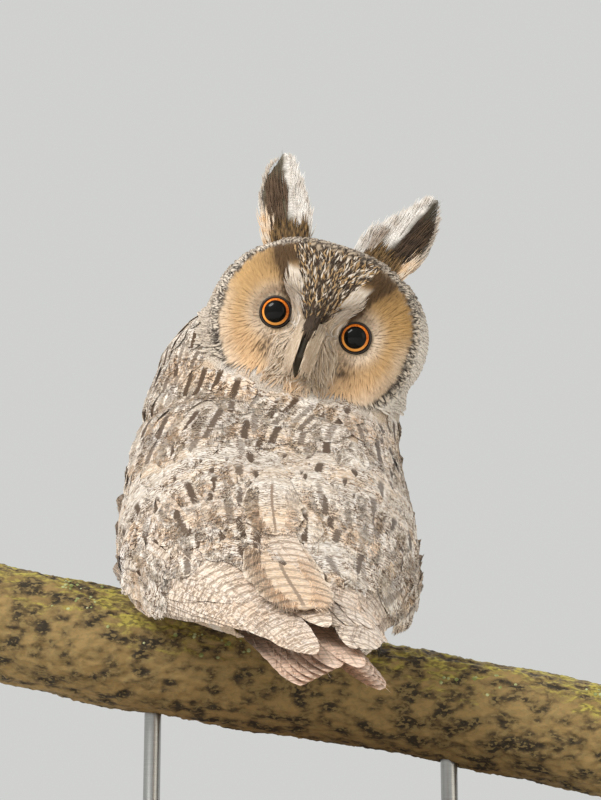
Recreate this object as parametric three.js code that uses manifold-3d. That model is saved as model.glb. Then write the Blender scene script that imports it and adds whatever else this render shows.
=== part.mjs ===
// A long-eared owl on a cut length of branch, held by a plain display stand. Life size, in millimetres,
// +Z up. The bird perches with its back to -Y and has turned its head right round, so its back and its face
// both look along -Y. Its left side is at -X. The origin is the middle of the stand's underside.
import * as THREE from "three";
import { mergeVertices } from "three/addons/utils/BufferGeometryUtils.js";
import Module from "manifold-3d";

const wasm = await Module();
wasm.setup();

const DEG = Math.PI / 180;
const GAP = 0.35; // between two solids that touch
const WELD = 1e-4;
const FINE = 0.06; // detail smaller than this is dropped where vanes cross
const LEFT = -1; // world X of the bird's left side
const RIGHT = 1;

// Stand: a flat base and two short rods that enter the perch from below.
const BASE = { length: 230, width: 170, height: 12, corner: 18, bevel: 1.5 };
const ROD = { radius: 4, flange: 10, flangeHeight: 2.5, reach: 70, intoPerch: 12 };

// Perch: a cut length of branch that falls towards +X.
const PERCH = { length: 326, radius: 26.5, height: 86, slope: 11.7 * DEG, taper: 1.4 };
PERCH.stations = 18;
PERCH.sides = 20;

// Body: the spine runs from the tail's tip (negative) through the tail's root (0) to the neck (positive).
const SPINE = { rootY: -50, rootAbovePerch: 15, tailSlope: 20 * DEG, neckSlope: 50 * DEG };
SPINE.bendStart = -45; // towards the tail from here it runs straight
SPINE.bendEnd = 170; // as it does towards the head from here
const ROLL = 4 * DEG; // the body's right side hangs a little lower
const TORSO = { from: -18, to: 184, sides: 26, stations: 15 };

// Body sections: place on the spine, half width, height of back and depth of belly, sideways sway (world X).
const TORSO_SECTIONS = [
  { at: -40, wide: 12, back: 6, belly: 5, sway: 0 },
  { at: -18, wide: 17, back: 9, belly: 7, sway: -4 },
  { at: 5, wide: 33, back: 19, belly: 10, sway: -8 },
  { at: 35, wide: 53, back: 32, belly: 17, sway: -12 },
  { at: 75, wide: 63, back: 40, belly: 31, sway: -14 },
  { at: 115, wide: 61, back: 39, belly: 44, sway: -15 },
  { at: 146, wide: 60, back: 33, belly: 44, sway: -16 },
  { at: 166, wide: 55, back: 24, belly: 34, sway: -15 },
  { at: 184, wide: 36, back: 12, belly: 16, sway: -14 },
  { at: 196, wide: 18, back: 6, belly: 6, sway: -14 },
];
// The bed that the folded wings lie on: the torso's back and sides, carried on over the tail.
const BED_SECTIONS = [
  { at: -190, wide: 13, back: 4, belly: 3, sway: 24 },
  { at: -165, wide: 16, back: 5, belly: 4, sway: 20 },
  { at: -110, wide: 29, back: 10, belly: 9, sway: 10 },
  { at: -60, wide: 40, back: 18, belly: 18, sway: -4 },
  { at: -12, wide: 54, back: 27, belly: 28, sway: -11 },
  { at: 35, wide: 61.5, back: 36, belly: 36, sway: -13 },
  { at: 75, wide: 64.5, back: 41.5, belly: 43.5, sway: -14 },
  { at: 115, wide: 63, back: 40.5, belly: 50.5, sway: -15 },
  { at: 148, wide: 62, back: 34.5, belly: 47.5, sway: -16.5 },
  { at: 172, wide: 58, back: 24, belly: 40, sway: -15 },
  { at: 196, wide: 49, back: 12, belly: 30, sway: -14 },
];

// Head: turned to look back at the viewer, tipped down and rolled towards +X.
const HEAD = { x: 10, y: 62, abovePerch: 166.7, pitch: 12 * DEG, roll: 19.7 * DEG, yaw: -6 * DEG, detail: 7 };
HEAD.meshTurn = 0.06; // keeps its corners off the bill's middle plane
const SKULL = { wide: 58.5, high: 46, low: 45, front: 38, back: 46 };
SKULL.crown = { drop: 2.5, wide: 18, long: 0.7 }; // a shallow dip between the ear tufts

// Face: how far each form stands out and how wide it is.
const FACE = {
  middle: { out: 34.5, up: -2, fallSide: 15, fallUp: 12.5, wide: 53, high: 43 },
  dish: { deep: 8.6, side: 22.5, wide: 14, high: 16 },
  cheek: { deep: 3, side: 26, up: -22, wide: 15, high: 13 },
  ridge: { out: 2.2, up: 2, wide: 6, high: 24 },
  brow: { out: 3.4, side: 7.8, lean: 0.45, wide: 4.2, from: -4, full: 4, fade: 24, to: 31 },
  rim: { out: 2, up: -1, wide: 51.5, high: 42, at: 0.96, breadth: 0.07 },
};
const EYE = { side: 21.2, up: 0, out: 15.2, radius: 10.5, turn: 1.5 * DEG };
EYE.lid = { radius: 8.4, tube: 1.35, side: 21.4, out: 22.2 };
const TUFT = { out: 6, back: 6 * DEG, length: 54, feathers: 7 };
TUFT.pair = [
  { name: "ear_tuft_left", side: RIGHT, aside: 20.5, up: 34.5, lean: 24 * DEG },
  { name: "ear_tuft_right", side: LEFT, aside: 29.5, up: 31, lean: 21.5 * DEG },
];
TUFT.fan = 12 * DEG; // from the middle feather to the outermost
TUFT.width = 12;
TUFT.thick = 0.7;
TUFT.layer = 1.1; // from one feather to the next behind it
TUFT.core = { shares: [0, 0.16, 0.34, 0.48], radii: [6, 5.6, 4.2, 1.6], sides: 10, flat: 0.75, behind: 1 };

// Neck: an oval column from between the shoulders up into the back of the head, behind the face.
const NECK = { from: 130, topSide: -5, topUp: 8, topOut: -30, sides: 24 };
NECK.rings = [
  { t: 0, wide: 57, deep: 32, sway: 0, ahead: 4 },
  { t: 0.14, wide: 66, deep: 36, sway: -3, ahead: 5 },
  { t: 0.32, wide: 71, deep: 36, sway: -8, ahead: 6 },
  { t: 0.52, wide: 69, deep: 34, sway: -10.5, ahead: 5 },
  { t: 0.74, wide: 66, deep: 31, sway: -14, ahead: 3 },
  { t: 1, wide: 49, deep: 22, sway: -10, ahead: 0 },
];

// Feet: feathered toes, two before and two behind the perch, on each of two legs. Angles are from the
// perch's top, positive towards the bird's front.
const FOOT = { middle: -18, apart: 29, angle: 20 * DEG, padHigh: 7.4, padWide: 8.5, padLong: 9.5 };
FOOT.frontAngles = [30, 46, 62, 78, 92];
FOOT.hindAngles = [10, 0, -10, -20, -30];
FOOT.frontClaw = [93, 104, 115, 124];
FOOT.hindClaw = [-30, -38, -46, -54];
FOOT.toeRadius = [5.2, 3.7];
FOOT.clawHeight = [3.9, 4.6, 3.2, 1.2];
FOOT.clawRadius = [2, 1.6, 1.1, 0.25];
FOOT.shinRadius = [6.5, 8.5, 11.5, 13];
FOOT.hip = { at: 80, angle: 24, under: 12 };

const COLOURS = {
  back: { color: 0x9a8b7c, roughness: 0.9 },
  face: { color: 0xc8975c, roughness: 0.95 },
  tuft: { color: 0x4a3f36, roughness: 0.95 },
  eye: { color: 0x14100c, roughness: 0.1 },
  horn: { color: 0x2c2824, roughness: 0.45 },
  leg: { color: 0xc9a473, roughness: 0.95 },
  bark: { color: 0x5d5236, roughness: 0.95 },
  base: { color: 0x6b4a30, roughness: 0.5 },
  rod: { color: 0x8d8f92, roughness: 0.35, metalness: 1 },
};

const V = (x, y, z) => new THREE.Vector3(x, y, z);
const mix = THREE.MathUtils.lerp;
const smooth = (from, to, x) => THREE.MathUtils.smoothstep(x, Math.min(from, to), Math.max(from, to));
const bell = (x, width) => Math.exp(-((x / width) ** 2));

// A seeded random draw from 0 to 1.
function draws(seed) {
  let state = seed;
  return () => {
    state = (state * 16807) % 2147483647;
    return state / 2147483647;
  };
}

// Joining and cutting

// A closed three.js geometry as a solid, turned the right way round.
function solid(geometry) {
  const bare = new THREE.BufferGeometry();
  const loose = geometry.index ? geometry.toNonIndexed() : geometry;
  bare.setAttribute("position", loose.getAttribute("position"));
  const welded = mergeVertices(bare, WELD);
  const triVerts = new Uint32Array(welded.index.array);
  const vertProperties = welded.attributes.position.array;
  let volume = 0;
  const corner = (i) => new THREE.Vector3().fromArray(vertProperties, 3 * triVerts[i]);
  for (let i = 0; i < triVerts.length; i += 3) volume += corner(i).dot(corner(i + 1).cross(corner(i + 2)));
  if (volume < 0) {
    for (let i = 0; i < triVerts.length; i += 3) {
      [triVerts[i + 1], triVerts[i + 2]] = [triVerts[i + 2], triVerts[i + 1]];
    }
  }
  return new wasm.Manifold(new wasm.Mesh({ numProp: 3, vertProperties, triVerts }));
}

// A solid's largest closed surface alone, which drops the scraps that a cut leaves and fills sealed hollows.
function largest(shape) {
  const { vertProperties, triVerts } = shape.getMesh();
  const parent = Uint32Array.from({ length: vertProperties.length / 3 }, (_, i) => i);
  const rootOf = (i) => {
    while (parent[i] !== i) i = parent[i] = parent[parent[i]];
    return i;
  };
  for (let i = 0; i < triVerts.length; i += 3) {
    parent[rootOf(triVerts[i])] = rootOf(triVerts[i + 1]);
    parent[rootOf(triVerts[i + 1])] = rootOf(triVerts[i + 2]);
  }
  const volumes = new Map();
  const corner = (i) => new THREE.Vector3().fromArray(vertProperties, 3 * triVerts[i]);
  for (let i = 0; i < triVerts.length; i += 3) {
    const root = rootOf(triVerts[i]);
    const volume = corner(i).dot(corner(i + 1).cross(corner(i + 2)));
    volumes.set(root, (volumes.get(root) ?? 0) + volume);
  }
  const [kept] = [...volumes].reduce((best, one) => (one[1] > best[1] ? one : best));
  const faces = triVerts.filter((_, i) => rootOf(triVerts[i - (i % 3)]) === kept);
  return new wasm.Manifold(new wasm.Mesh({ numProp: 3, vertProperties, triVerts: faces }));
}

function union(shapes) {
  return wasm.Manifold.union(shapes);
}

const owl = new THREE.Group();

// Adds a solid to the model as one named mesh.
function add(name, shape, look) {
  const made = largest(shape.simplify(FINE)).getMesh();
  const geometry = new THREE.BufferGeometry();
  geometry.setAttribute("position", new THREE.BufferAttribute(made.vertProperties, 3));
  geometry.setIndex(new THREE.BufferAttribute(made.triVerts, 1));
  geometry.computeVertexNormals();
  const material = new THREE.MeshStandardMaterial({ flatShading: true, ...COLOURS[look] });
  const mesh = new THREE.Mesh(geometry, material);
  mesh.name = name;
  owl.add(mesh);
}

// Shapes from rings

// A closed solid through rings of equal count. Each end is a fan round the ring's middle. On flat rings,
// whose upper points run one way and whose lower ones run back, it is a strip between the two rows instead,
// and the lower face is divided along the same diagonals as the upper one.
function loft(rings, flat = false) {
  const sides = rings[0].length;
  const points = rings.flat();
  const faces = [];
  const quad = (a, b, c, d) => faces.push([a, b, c], [a, c, d]);
  for (let r = 0; r + 1 < rings.length; r++) {
    for (let i = 0; i < sides; i++) {
      const j = (i + 1) % sides;
      const corners = [r * sides + i, r * sides + j, (r + 1) * sides + j, (r + 1) * sides + i];
      if (flat && i >= sides / 2) corners.push(corners.shift());
      quad(...corners);
    }
  }
  const last = (rings.length - 1) * sides;
  if (flat) {
    for (let i = 0; i + 1 < sides / 2; i++) {
      const across = sides - 1 - i;
      quad(i, across, across - 1, i + 1);
      quad(last + i, last + i + 1, last + across - 1, last + across);
    }
  } else {
    for (const [start, turn] of [[0, sides - 1], [last, 1]]) {
      const middle = V(0, 0, 0);
      for (let i = 0; i < sides; i++) middle.addScaledVector(points[start + i], 1 / sides);
      const hub = points.push(middle) - 1;
      for (let i = 0; i < sides; i++) faces.push([hub, start + i, start + ((i + turn) % sides)]);
    }
  }
  const geometry = new THREE.BufferGeometry();
  geometry.setAttribute("position", new THREE.Float32BufferAttribute(points.flatMap((p) => p.toArray()), 3));
  geometry.setIndex(faces.flat());
  return solid(geometry);
}

// A tube through points with a radius at each, flattened to a share of its width along the up direction.
// Growing it adds to its radii and to both of its ends.
function tube(path, widths, sides, up = V(0, 0, 1), flat = 1, grow = 0) {
  const radii = widths.map((w) => w + grow);
  const points = path.map((p) => p.clone());
  const last = path.length - 1;
  points[0].addScaledVector(path[0].clone().sub(path[1]).normalize(), grow);
  points[last].addScaledVector(path[last].clone().sub(path[last - 1]).normalize(), grow);
  const rings = points.map((point, k) => {
    const before = points[Math.max(k - 1, 0)];
    const after = points[Math.min(k + 1, points.length - 1)];
    const along = after.clone().sub(before).normalize();
    const side = along.clone().cross(up).normalize();
    const top = side.clone().cross(along);
    return Array.from({ length: sides }, (_, i) => {
      const turn = (2 * Math.PI * i) / sides;
      return point
        .clone()
        .addScaledVector(side, radii[k] * Math.cos(turn))
        .addScaledVector(top, radii[k] * flat * Math.sin(turn));
    });
  });
  return loft(rings);
}

// A row of named sections, read at any place between them as one smooth curve.
function readSections(sections, at, key) {
  const last = sections.length - 1;
  const place = THREE.MathUtils.clamp(at, sections[0].at, sections[last].at);
  let i = 0;
  while (i < last - 1 && place > sections[i + 1].at) i++;
  const [a, b] = [sections[i], sections[i + 1]];
  const slope = (k) => {
    const [p, q] = [sections[Math.max(k - 1, 0)], sections[Math.min(k + 1, last)]];
    return (q[key] - p[key]) / (q.at - p.at);
  };
  const span = b.at - a.at;
  const t = (place - a.at) / span;
  const [t2, t3] = [t * t, t * t * t];
  return (
    (2 * t3 - 3 * t2 + 1) * a[key] +
    (t3 - 2 * t2 + t) * span * slope(i) +
    (3 * t2 - 2 * t3) * b[key] +
    (t3 - t2) * span * slope(i + 1)
  );
}

// Perch

const perchAlong = V(Math.cos(PERCH.slope), 0, -Math.sin(PERCH.slope));
const perchTop = V(Math.sin(PERCH.slope), 0, Math.cos(PERCH.slope));
const perchMiddle = V(6, 0, PERCH.height);

// A point on the perch: distance along it, angle from its top towards +Y, height over the bark.
function onPerch(along, angle, height = 0) {
  const bark = 0.8 * Math.sin(5 * angle + along / 17) + 0.6 * Math.sin(3 * angle - along / 9 + 1);
  const swell = 1.6 * bell(along + 96, 26) - 1.2 * bell(along - 40, 50);
  const radius = PERCH.radius - (PERCH.taper * along) / PERCH.length + 0.7 * bark + swell + height;
  return perchMiddle
    .clone()
    .addScaledVector(perchAlong, along)
    .addScaledVector(perchTop, radius * Math.cos(angle) + 2.2 * Math.sin(along / 62))
    .add(V(0, radius * Math.sin(angle) + 1.8 * Math.sin(along / 48 + 0.6), 0));
}

function perchShape(height = 0) {
  const rings = [];
  for (let k = 0; k < PERCH.stations; k++) {
    const along = PERCH.length * (k / (PERCH.stations - 1) - 0.5);
    const turn = (i) => (2 * Math.PI * i) / PERCH.sides;
    rings.push(Array.from({ length: PERCH.sides }, (_, i) => onPerch(along, turn(i), height)));
  }
  return loft(rings);
}

function makeStand() {
  const { length, width, height, corner, bevel } = BASE;
  const outline = new THREE.Shape();
  const [x, y] = [length / 2 - bevel, width / 2 - bevel];
  outline.moveTo(-x + corner, -y).lineTo(x - corner, -y).quadraticCurveTo(x, -y, x, -y + corner);
  outline.lineTo(x, y - corner).quadraticCurveTo(x, y, x - corner, y).lineTo(-x + corner, y);
  outline.quadraticCurveTo(-x, y, -x, y - corner).lineTo(-x, -y + corner);
  outline.quadraticCurveTo(-x, -y, -x + corner, -y);
  const plate = new THREE.ExtrudeGeometry(outline, {
    depth: height - 2 * bevel,
    bevelSize: bevel,
    bevelThickness: bevel,
    bevelSegments: 2,
    curveSegments: 5,
  });
  plate.translate(0, 0, bevel);
  add("stand_base", solid(plate), "base");

  const bores = [];
  for (const [name, side] of [["stand_rod_left", LEFT], ["stand_rod_right", RIGHT]]) {
    const x = side * ROD.reach;
    const axisHeight = PERCH.height - (x - perchMiddle.x) * Math.tan(PERCH.slope);
    const foot = height + GAP;
    const top = axisHeight - PERCH.radius + ROD.intoPerch;
    const turned = (radius, flange, from, to) => {
      const profile = [
        [0, from],
        [flange, from],
        [flange, from + ROD.flangeHeight],
        [radius, from + ROD.flangeHeight + 1.5],
        [radius, to],
        [0, to],
      ];
      const lathe = new THREE.LatheGeometry(profile.map(([r, z]) => new THREE.Vector2(r, z)), 16);
      return solid(lathe.rotateX(Math.PI / 2)).translate([x, 0, 0]);
    };
    add(name, turned(ROD.radius, ROD.flange, foot, top), "rod");
    bores.push(turned(ROD.radius + GAP, ROD.radius + GAP, foot, top + GAP));
  }
  add("perch", perchShape().subtract(union(bores)), "bark");
}

// Spine and body

const spineBend = (SPINE.neckSlope - SPINE.tailSlope) / (SPINE.bendEnd - SPINE.bendStart);
const perchTopHeight = PERCH.height + PERCH.radius;

// The spine's height, its place in Y and its slope, as one arc between two straight runs.
function spineLine(at) {
  const arc = THREE.MathUtils.clamp(at, SPINE.bendStart, SPINE.bendEnd);
  const slopeAt = (x) => SPINE.tailSlope + spineBend * (x - SPINE.bendStart);
  const slope = slopeAt(arc);
  const rest = at - arc;
  const y = (Math.sin(slope) - Math.sin(slopeAt(0))) / spineBend + rest * Math.cos(slope);
  const z = (Math.cos(slopeAt(0)) - Math.cos(slope)) / spineBend + rest * Math.sin(slope);
  return { y: SPINE.rootY + y, z: perchTopHeight + SPINE.rootAbovePerch + z };
}

// The spine's point and its directions towards the head, the left and the back.
function spineFrame(at, sections) {
  const point = (x) => {
    const { y, z } = spineLine(x);
    return V(readSections(sections, x, "sway"), y, z);
  };
  const toHead = point(at + 1).sub(point(at - 1)).normalize();
  const level = V(0, 0, 1).cross(toHead).normalize();
  const toLeft = level.clone().applyAxisAngle(toHead, ROLL);
  const toBack = toHead.clone().cross(toLeft);
  return { origin: point(at), toHead, toLeft, toBack };
}

// A point on the body: its place on the spine, its angle from the middle of the back (positive to the left)
// and its height over the body.
function onBody(sections, at, angle, height = 0) {
  const { origin, toLeft, toBack } = spineFrame(at, sections);
  const upper = Math.cos(angle) >= 0;
  const wide = readSections(sections, at, "wide") + height;
  const deep = readSections(sections, at, upper ? "back" : "belly") + height;
  origin.addScaledVector(toLeft, wide * Math.sin(angle));
  return origin.addScaledVector(toBack, deep * Math.cos(angle));
}

function torsoShape(height = 0) {
  const [first, last] = [TORSO.from - height, TORSO.to + height];
  const rings = [];
  for (let k = 0; k < TORSO.stations; k++) {
    const at = mix(first, last, k / (TORSO.stations - 1));
    const turn = (i) => (2 * Math.PI * i) / TORSO.sides;
    rings.push(Array.from({ length: TORSO.sides }, (_, i) => onBody(TORSO_SECTIONS, at, turn(i), height)));
  }
  return loft(rings);
}

// Head

const headFrame = (() => {
  const { pitch, roll, yaw } = HEAD;
  const out = V(Math.sin(yaw) * Math.cos(pitch), -Math.cos(yaw) * Math.cos(pitch), -Math.sin(pitch));
  const level = V(0, 0, 1).cross(out).normalize();
  const raised = out.clone().cross(level);
  const up = raised.clone().multiplyScalar(Math.cos(roll)).addScaledVector(level, Math.sin(roll));
  const side = level.clone().multiplyScalar(Math.cos(roll)).addScaledVector(raised, -Math.sin(roll));
  const middle = V(HEAD.x, HEAD.y, perchTopHeight + HEAD.abovePerch);
  return new THREE.Matrix4().makeBasis(side, up, out).setPosition(middle);
})();

// A point of the head's own frame (side, up, out) in the model.
const inHead = (side, up, out) => V(side, up, out).applyMatrix4(headFrame);

// How far the face stands out at a place on it: two dishes round the eyes, a ridge down to the bill, brows
// and a rim.
function faceHeight(side, up) {
  const { middle, dish, cheek, ridge, brow, rim } = FACE;
  const across = Math.abs(side);
  const fallSide = middle.fallSide * (side / middle.wide) ** 2;
  const fallUp = middle.fallUp * ((up - middle.up) / middle.high) ** 2;
  const dished = dish.deep * bell(across - dish.side, dish.wide) * bell(up, dish.high);
  const cheekDip = cheek.deep * bell(across - cheek.side, cheek.wide) * bell(up - cheek.up, cheek.high);
  const ridged = ridge.out * bell(side, ridge.wide) * bell(up - ridge.up, ridge.high);
  const browLine = across - brow.side - brow.lean * (up + 2);
  const browFade = smooth(brow.from, brow.full, up) * (1 - smooth(brow.fade, brow.to, up));
  const rimRadius = Math.hypot(side / rim.wide, (up - rim.up) / rim.high);
  const browed = brow.out * bell(browLine, brow.wide) * browFade;
  const rimmed = rim.out * bell(rimRadius - rim.at, rim.breadth);
  return middle.out - fallSide - fallUp - dished - cheekDip + ridged + browed + rimmed;
}

function headShape(grow = 0) {
  const ball = new THREE.IcosahedronGeometry(1, HEAD.detail).rotateZ(HEAD.meshTurn);
  const place = ball.getAttribute("position");
  for (let i = 0; i < place.count; i++) {
    const n = V(0, 0, 0).fromBufferAttribute(place, i);
    const tall = n.y > 0 ? SKULL.high : SKULL.low;
    const side = SKULL.wide * n.x;
    let up = tall * n.y;
    let out = (n.z > 0 ? SKULL.front : SKULL.back) * n.z;
    const onFace = n.z > 0 ? 1 - smooth(0.93, 1, Math.hypot(n.x, n.y)) : 0;
    out = mix(out, faceHeight(side, up), onFace);
    const { drop, wide, long } = SKULL.crown;
    up -= drop * smooth(0.3, 1, n.y) * bell(side, wide) * bell(n.z, long);
    const scale = 1 + grow / Math.hypot(side, up, out);
    place.setXYZ(i, ...inHead(side * scale, up * scale, out * scale).toArray());
  }
  return solid(ball);
}

const ballAt = (point, radius, detail) => {
  const ball = new THREE.IcosahedronGeometry(radius, detail);
  return solid(ball.translate(point.x, point.y, point.z));
};

const eyeMiddle = (side) => inHead(side * EYE.side, EYE.up, EYE.out);

// A lid ring round one eye, facing a little outwards.
function lidRing(side) {
  const ring = new THREE.TorusGeometry(EYE.lid.radius, EYE.lid.tube, 6, 20);
  ring.rotateY(side * EYE.turn);
  ring.translate(side * EYE.lid.side, EYE.up, EYE.lid.out);
  return solid(ring.applyMatrix4(headFrame));
}

// The bill's upper part hooks over the lower one. Both are rows of rings in the head's middle plane.
const BILL_UPPER = [
  { up: 0, out: 28, wide: 4.8 },
  { up: -4.5, out: 35.5, wide: 5.4 },
  { up: -11, out: 40.5, wide: 5.1 },
  { up: -18.5, out: 42, wide: 3.9 },
  { up: -25, out: 40.2, wide: 2.2 },
  { up: -29.5, out: 36.6, wide: 0.4 },
];
const BILL_LOWER = [
  { up: -14, out: 26, wide: 4.3 },
  { up: -18.5, out: 32, wide: 4 },
  { up: -22.5, out: 35, wide: 2.8 },
  { up: -25.5, out: 36, wide: 0.9 },
];

const NOSTRIL = { side: 3.9, up: -9, out: 40.4, radius: 1.2 };

function billShape(rings, grow = 0) {
  const points = rings.map((r) => inHead(0, r.up, r.out));
  const across = V(1, 0, 0).transformDirection(headFrame);
  return tube(points, rings.map((r) => r.wide), 10, across, 0.92, grow);
}

function makeHead() {
  const sockets = union([LEFT, RIGHT].map((side) => ballAt(eyeMiddle(side), EYE.radius + GAP, 2)));
  const bills = union([billShape(BILL_UPPER, GAP), billShape(BILL_LOWER, GAP)]);
  const lids = union([LEFT, RIGHT].map(lidRing));
  add("head", headShape().add(lids).subtract(sockets).subtract(bills), "face");

  // The head is turned round, so its own left side is at +X.
  add("eye_left", ballAt(eyeMiddle(RIGHT), EYE.radius, 2), "eye");
  add("eye_right", ballAt(eyeMiddle(LEFT), EYE.radius, 2), "eye");

  const nostril = (side) => ballAt(inHead(side * NOSTRIL.side, NOSTRIL.up, NOSTRIL.out), NOSTRIL.radius, 1);
  add("bill_upper", billShape(BILL_UPPER).subtract(nostril(LEFT)).subtract(nostril(RIGHT)), "horn");
  add("bill_lower", billShape(BILL_LOWER).subtract(billShape(BILL_UPPER, GAP)), "horn");
}

// Feathers

// Width of a vane at shares of its length, for a long flight feather and for a short covert.
const FLIGHT_OUTLINE = [
  { t: 0, wide: 0.35 },
  { t: 0.4, wide: 0.95 },
  { t: 0.84, wide: 0.9 },
  { t: 1, wide: 0.3 },
];
const COVERT_OUTLINE = [
  { t: 0, wide: 0.45 },
  { t: 0.5, wide: 1 },
  { t: 0.84, wide: 0.86 },
  { t: 1, wide: 0.35 },
];

const TUFT_OUTLINE = [
  { t: 0, wide: 0.5 },
  { t: 0.45, wide: 1 },
  { t: 0.78, wide: 0.75 },
  { t: 1, wide: 0.15 },
];

// One feather: place(t) gives its centre line and its normal, tilt turns it about that line, as slates lie.
function vane(place, { width, thick = 0.8, tilt = 0, shaft = 0.4, droop = 0.05, outline = FLIGHT_OUTLINE }) {
  const rings = outline.map(({ t, wide }) => {
    const here = place(t);
    const along = place(Math.min(t + 0.02, 1)).point.sub(place(Math.max(t - 0.02, 0)).point).normalize();
    const side = along.clone().cross(here.normal).normalize().applyAxisAngle(along, tilt);
    const top = side.clone().cross(along);
    const half = (width * wide) / 2;
    const corner = (s, h) => here.point.clone().addScaledVector(side, s).addScaledVector(top, h);
    const over = thick / 2;
    if (!shaft) return [corner(-half, over), corner(half, over), corner(half, -over), corner(-half, -over)];
    return [
      corner(-half, over - droop * half),
      corner(0, over + shaft),
      corner(half, over - droop * half),
      corner(half, -over - droop * half),
      corner(0, -over),
      corner(-half, -over - droop * half),
    ];
  });
  return loft(rings, true);
}

// The centre line of a feather that lies on the wings' bed, from its root to its tip.
function alongBed(side, root, tip) {
  const at = (t) => {
    const [x, angle] = [mix(root.at, tip.at, t), -side * mix(root.angle, tip.angle, t) * DEG];
    return { x, angle, height: mix(root.height, tip.height, t) };
  };
  return (t) => {
    const { x, angle, height } = at(t);
    const near = (step, turn) => onBody(BED_SECTIONS, x + step, angle + turn, height);
    const ahead = near(1, 0).sub(near(-1, 0));
    const round = near(0, 0.02).sub(near(0, -0.02));
    return { point: near(0, 0), normal: ahead.cross(round).normalize() };
  };
}

// Wing tiers, from the lowest to the topmost. Each lies from its first feather (outer) to its last (inner);
// angles are in degrees from the middle of the back.
const TIERS = [
  {
    // Primaries
    count: 7,
    root: [{ at: 26, angle: 108, height: 2 }, { at: 12, angle: 70, height: 2.2 }],
    tip: [{ at: -50, angle: 84, height: 3 }, { at: -140, angle: 20, height: 5.5 }],
    width: [18, 22],
  },
  {
    // Secondaries
    count: 7,
    root: [{ at: 44, angle: 94, height: 2.6 }, { at: 54, angle: 38, height: 3 }],
    tip: [{ at: -34, angle: 76, height: 6 }, { at: -102, angle: 12, height: 11 }],
    width: [21, 24],
  },
  {
    // Tertials
    count: 3,
    root: [{ at: 48, angle: 34, height: 3.4 }, { at: 58, angle: 20, height: 3.6 }],
    tip: [{ at: -62, angle: 24, height: 12 }, { at: -70, angle: 8, height: 14 }],
    width: [24, 25],
  },
  {
    // Greater coverts
    count: 7,
    root: [{ at: 66, angle: 110, height: 3 }, { at: 78, angle: 38, height: 3.6 }],
    tip: [{ at: 6, angle: 102, height: 8 }, { at: -2, angle: 30, height: 12 }],
    width: [21, 25],
    outline: COVERT_OUTLINE,
  },
  {
    // Median coverts
    count: 6,
    root: [{ at: 100, angle: 106, height: 3 }, { at: 106, angle: 42, height: 3.6 }],
    tip: [{ at: 50, angle: 104, height: 9.6 }, { at: 44, angle: 36, height: 12 }],
    width: [21, 24],
    outline: COVERT_OUTLINE,
  },
  {
    // Lesser coverts
    count: 5,
    root: [{ at: 132, angle: 98, height: 2.4 }, { at: 134, angle: 50, height: 2.6 }],
    tip: [{ at: 86, angle: 100, height: 9.8 }, { at: 84, angle: 46, height: 11.4 }],
    width: [21, 22],
    outline: COVERT_OUTLINE,
  },
  {
    // Scapulars
    count: 5,
    root: [{ at: 56, angle: 19, height: 5 }, { at: 140, angle: 25, height: 2 }],
    tip: [{ at: -22, angle: 10, height: 16.5 }, { at: 88, angle: 14, height: 9.4 }],
    width: [26, 23],
    outline: COVERT_OUTLINE,
  },
];
const SHINGLE = 14 * DEG; // how far each feather is tilted, so that it clears the next one
const TIP_SCATTER = 4; // how unevenly the tips of one tier end
const SHAFT = 0.4; // how far a flight feather's shaft stands out

// The wings: crossing is how much higher the innermost tips lie, so that the left wing is on top.
const WINGS = [
  { name: "wing_left", side: LEFT, seed: 13, crossing: 4.2 },
  { name: "wing_right", side: RIGHT, seed: 29, crossing: 0 },
];

// The wing's flesh on the bed, between places on the spine and angles from the middle of the back.
const WING_CORE = { from: 4, to: 146, inner: 11, outer: 116, stations: 9, across: 6 };
WING_CORE.under = -0.1; // the underside's height over the bed
WING_CORE.thin = 1.4; // the upper side's at the rim
WING_CORE.rise = 7.2; // and how much higher its middle is

// The wing's flesh, from the shoulder to the wrist and hand: a slab on the bed, thin at its rim.
function wingCore(side) {
  const { from, to, inner, outer, stations, across, under, thin, rise } = WING_CORE;
  const rings = [];
  for (let k = 0; k <= stations; k++) {
    const share = k / stations;
    const at = mix(from, to, share);
    const narrow = 1 - 0.45 * (1 - smooth(0, 0.35, share)) - 0.4 * smooth(0.8, 1, share);
    const middle = mix(inner, outer, 0.52);
    const ring = [];
    for (const top of [true, false]) {
      for (let i = 0; i <= across; i++) {
        const s = top ? i / across : 1 - i / across;
        const angle = middle + (mix(inner, outer, s) - middle) * narrow;
        const arch = Math.sin(Math.PI * s) * Math.sin(Math.PI * mix(0.06, 0.94, share));
        ring.push(onBody(BED_SECTIONS, at, -side * angle * DEG, top ? thin + rise * arch ** 0.6 : under));
      }
    }
    rings.push(ring);
  }
  return loft(rings, true);
}

function wingFeathers({ side, seed, crossing }) {
  const random = draws(seed);
  const feathers = [];
  for (const tier of TIERS) {
    const between = (pair, share) => ({
      at: mix(pair[0].at, pair[1].at, share),
      angle: mix(pair[0].angle, pair[1].angle, share),
      height: mix(pair[0].height, pair[1].height, share),
    });
    for (let i = 0; i < tier.count; i++) {
      const share = i / (tier.count - 1);
      const tip = between(tier.tip, share);
      tip.at += TIP_SCATTER * (random() - 0.5);
      tip.height += crossing * share ** 2;
      const place = alongBed(side, between(tier.root, share), tip);
      const width = mix(tier.width[0], tier.width[1], share);
      const shaft = tier.outline ? 0 : SHAFT;
      feathers.push(vane(place, { width, shaft, tilt: side * SHINGLE, outline: tier.outline }));
    }
  }
  return feathers;
}

function makeWings() {
  const blocked = union([torsoShape(GAP), headShape(2 * GAP), neckShape(GAP)]);
  for (const wing of WINGS) {
    const whole = union([wingCore(wing.side), ...wingFeathers(wing)]);
    add(wing.name, largest(whole).subtract(blocked), "back");
  }
}

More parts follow.
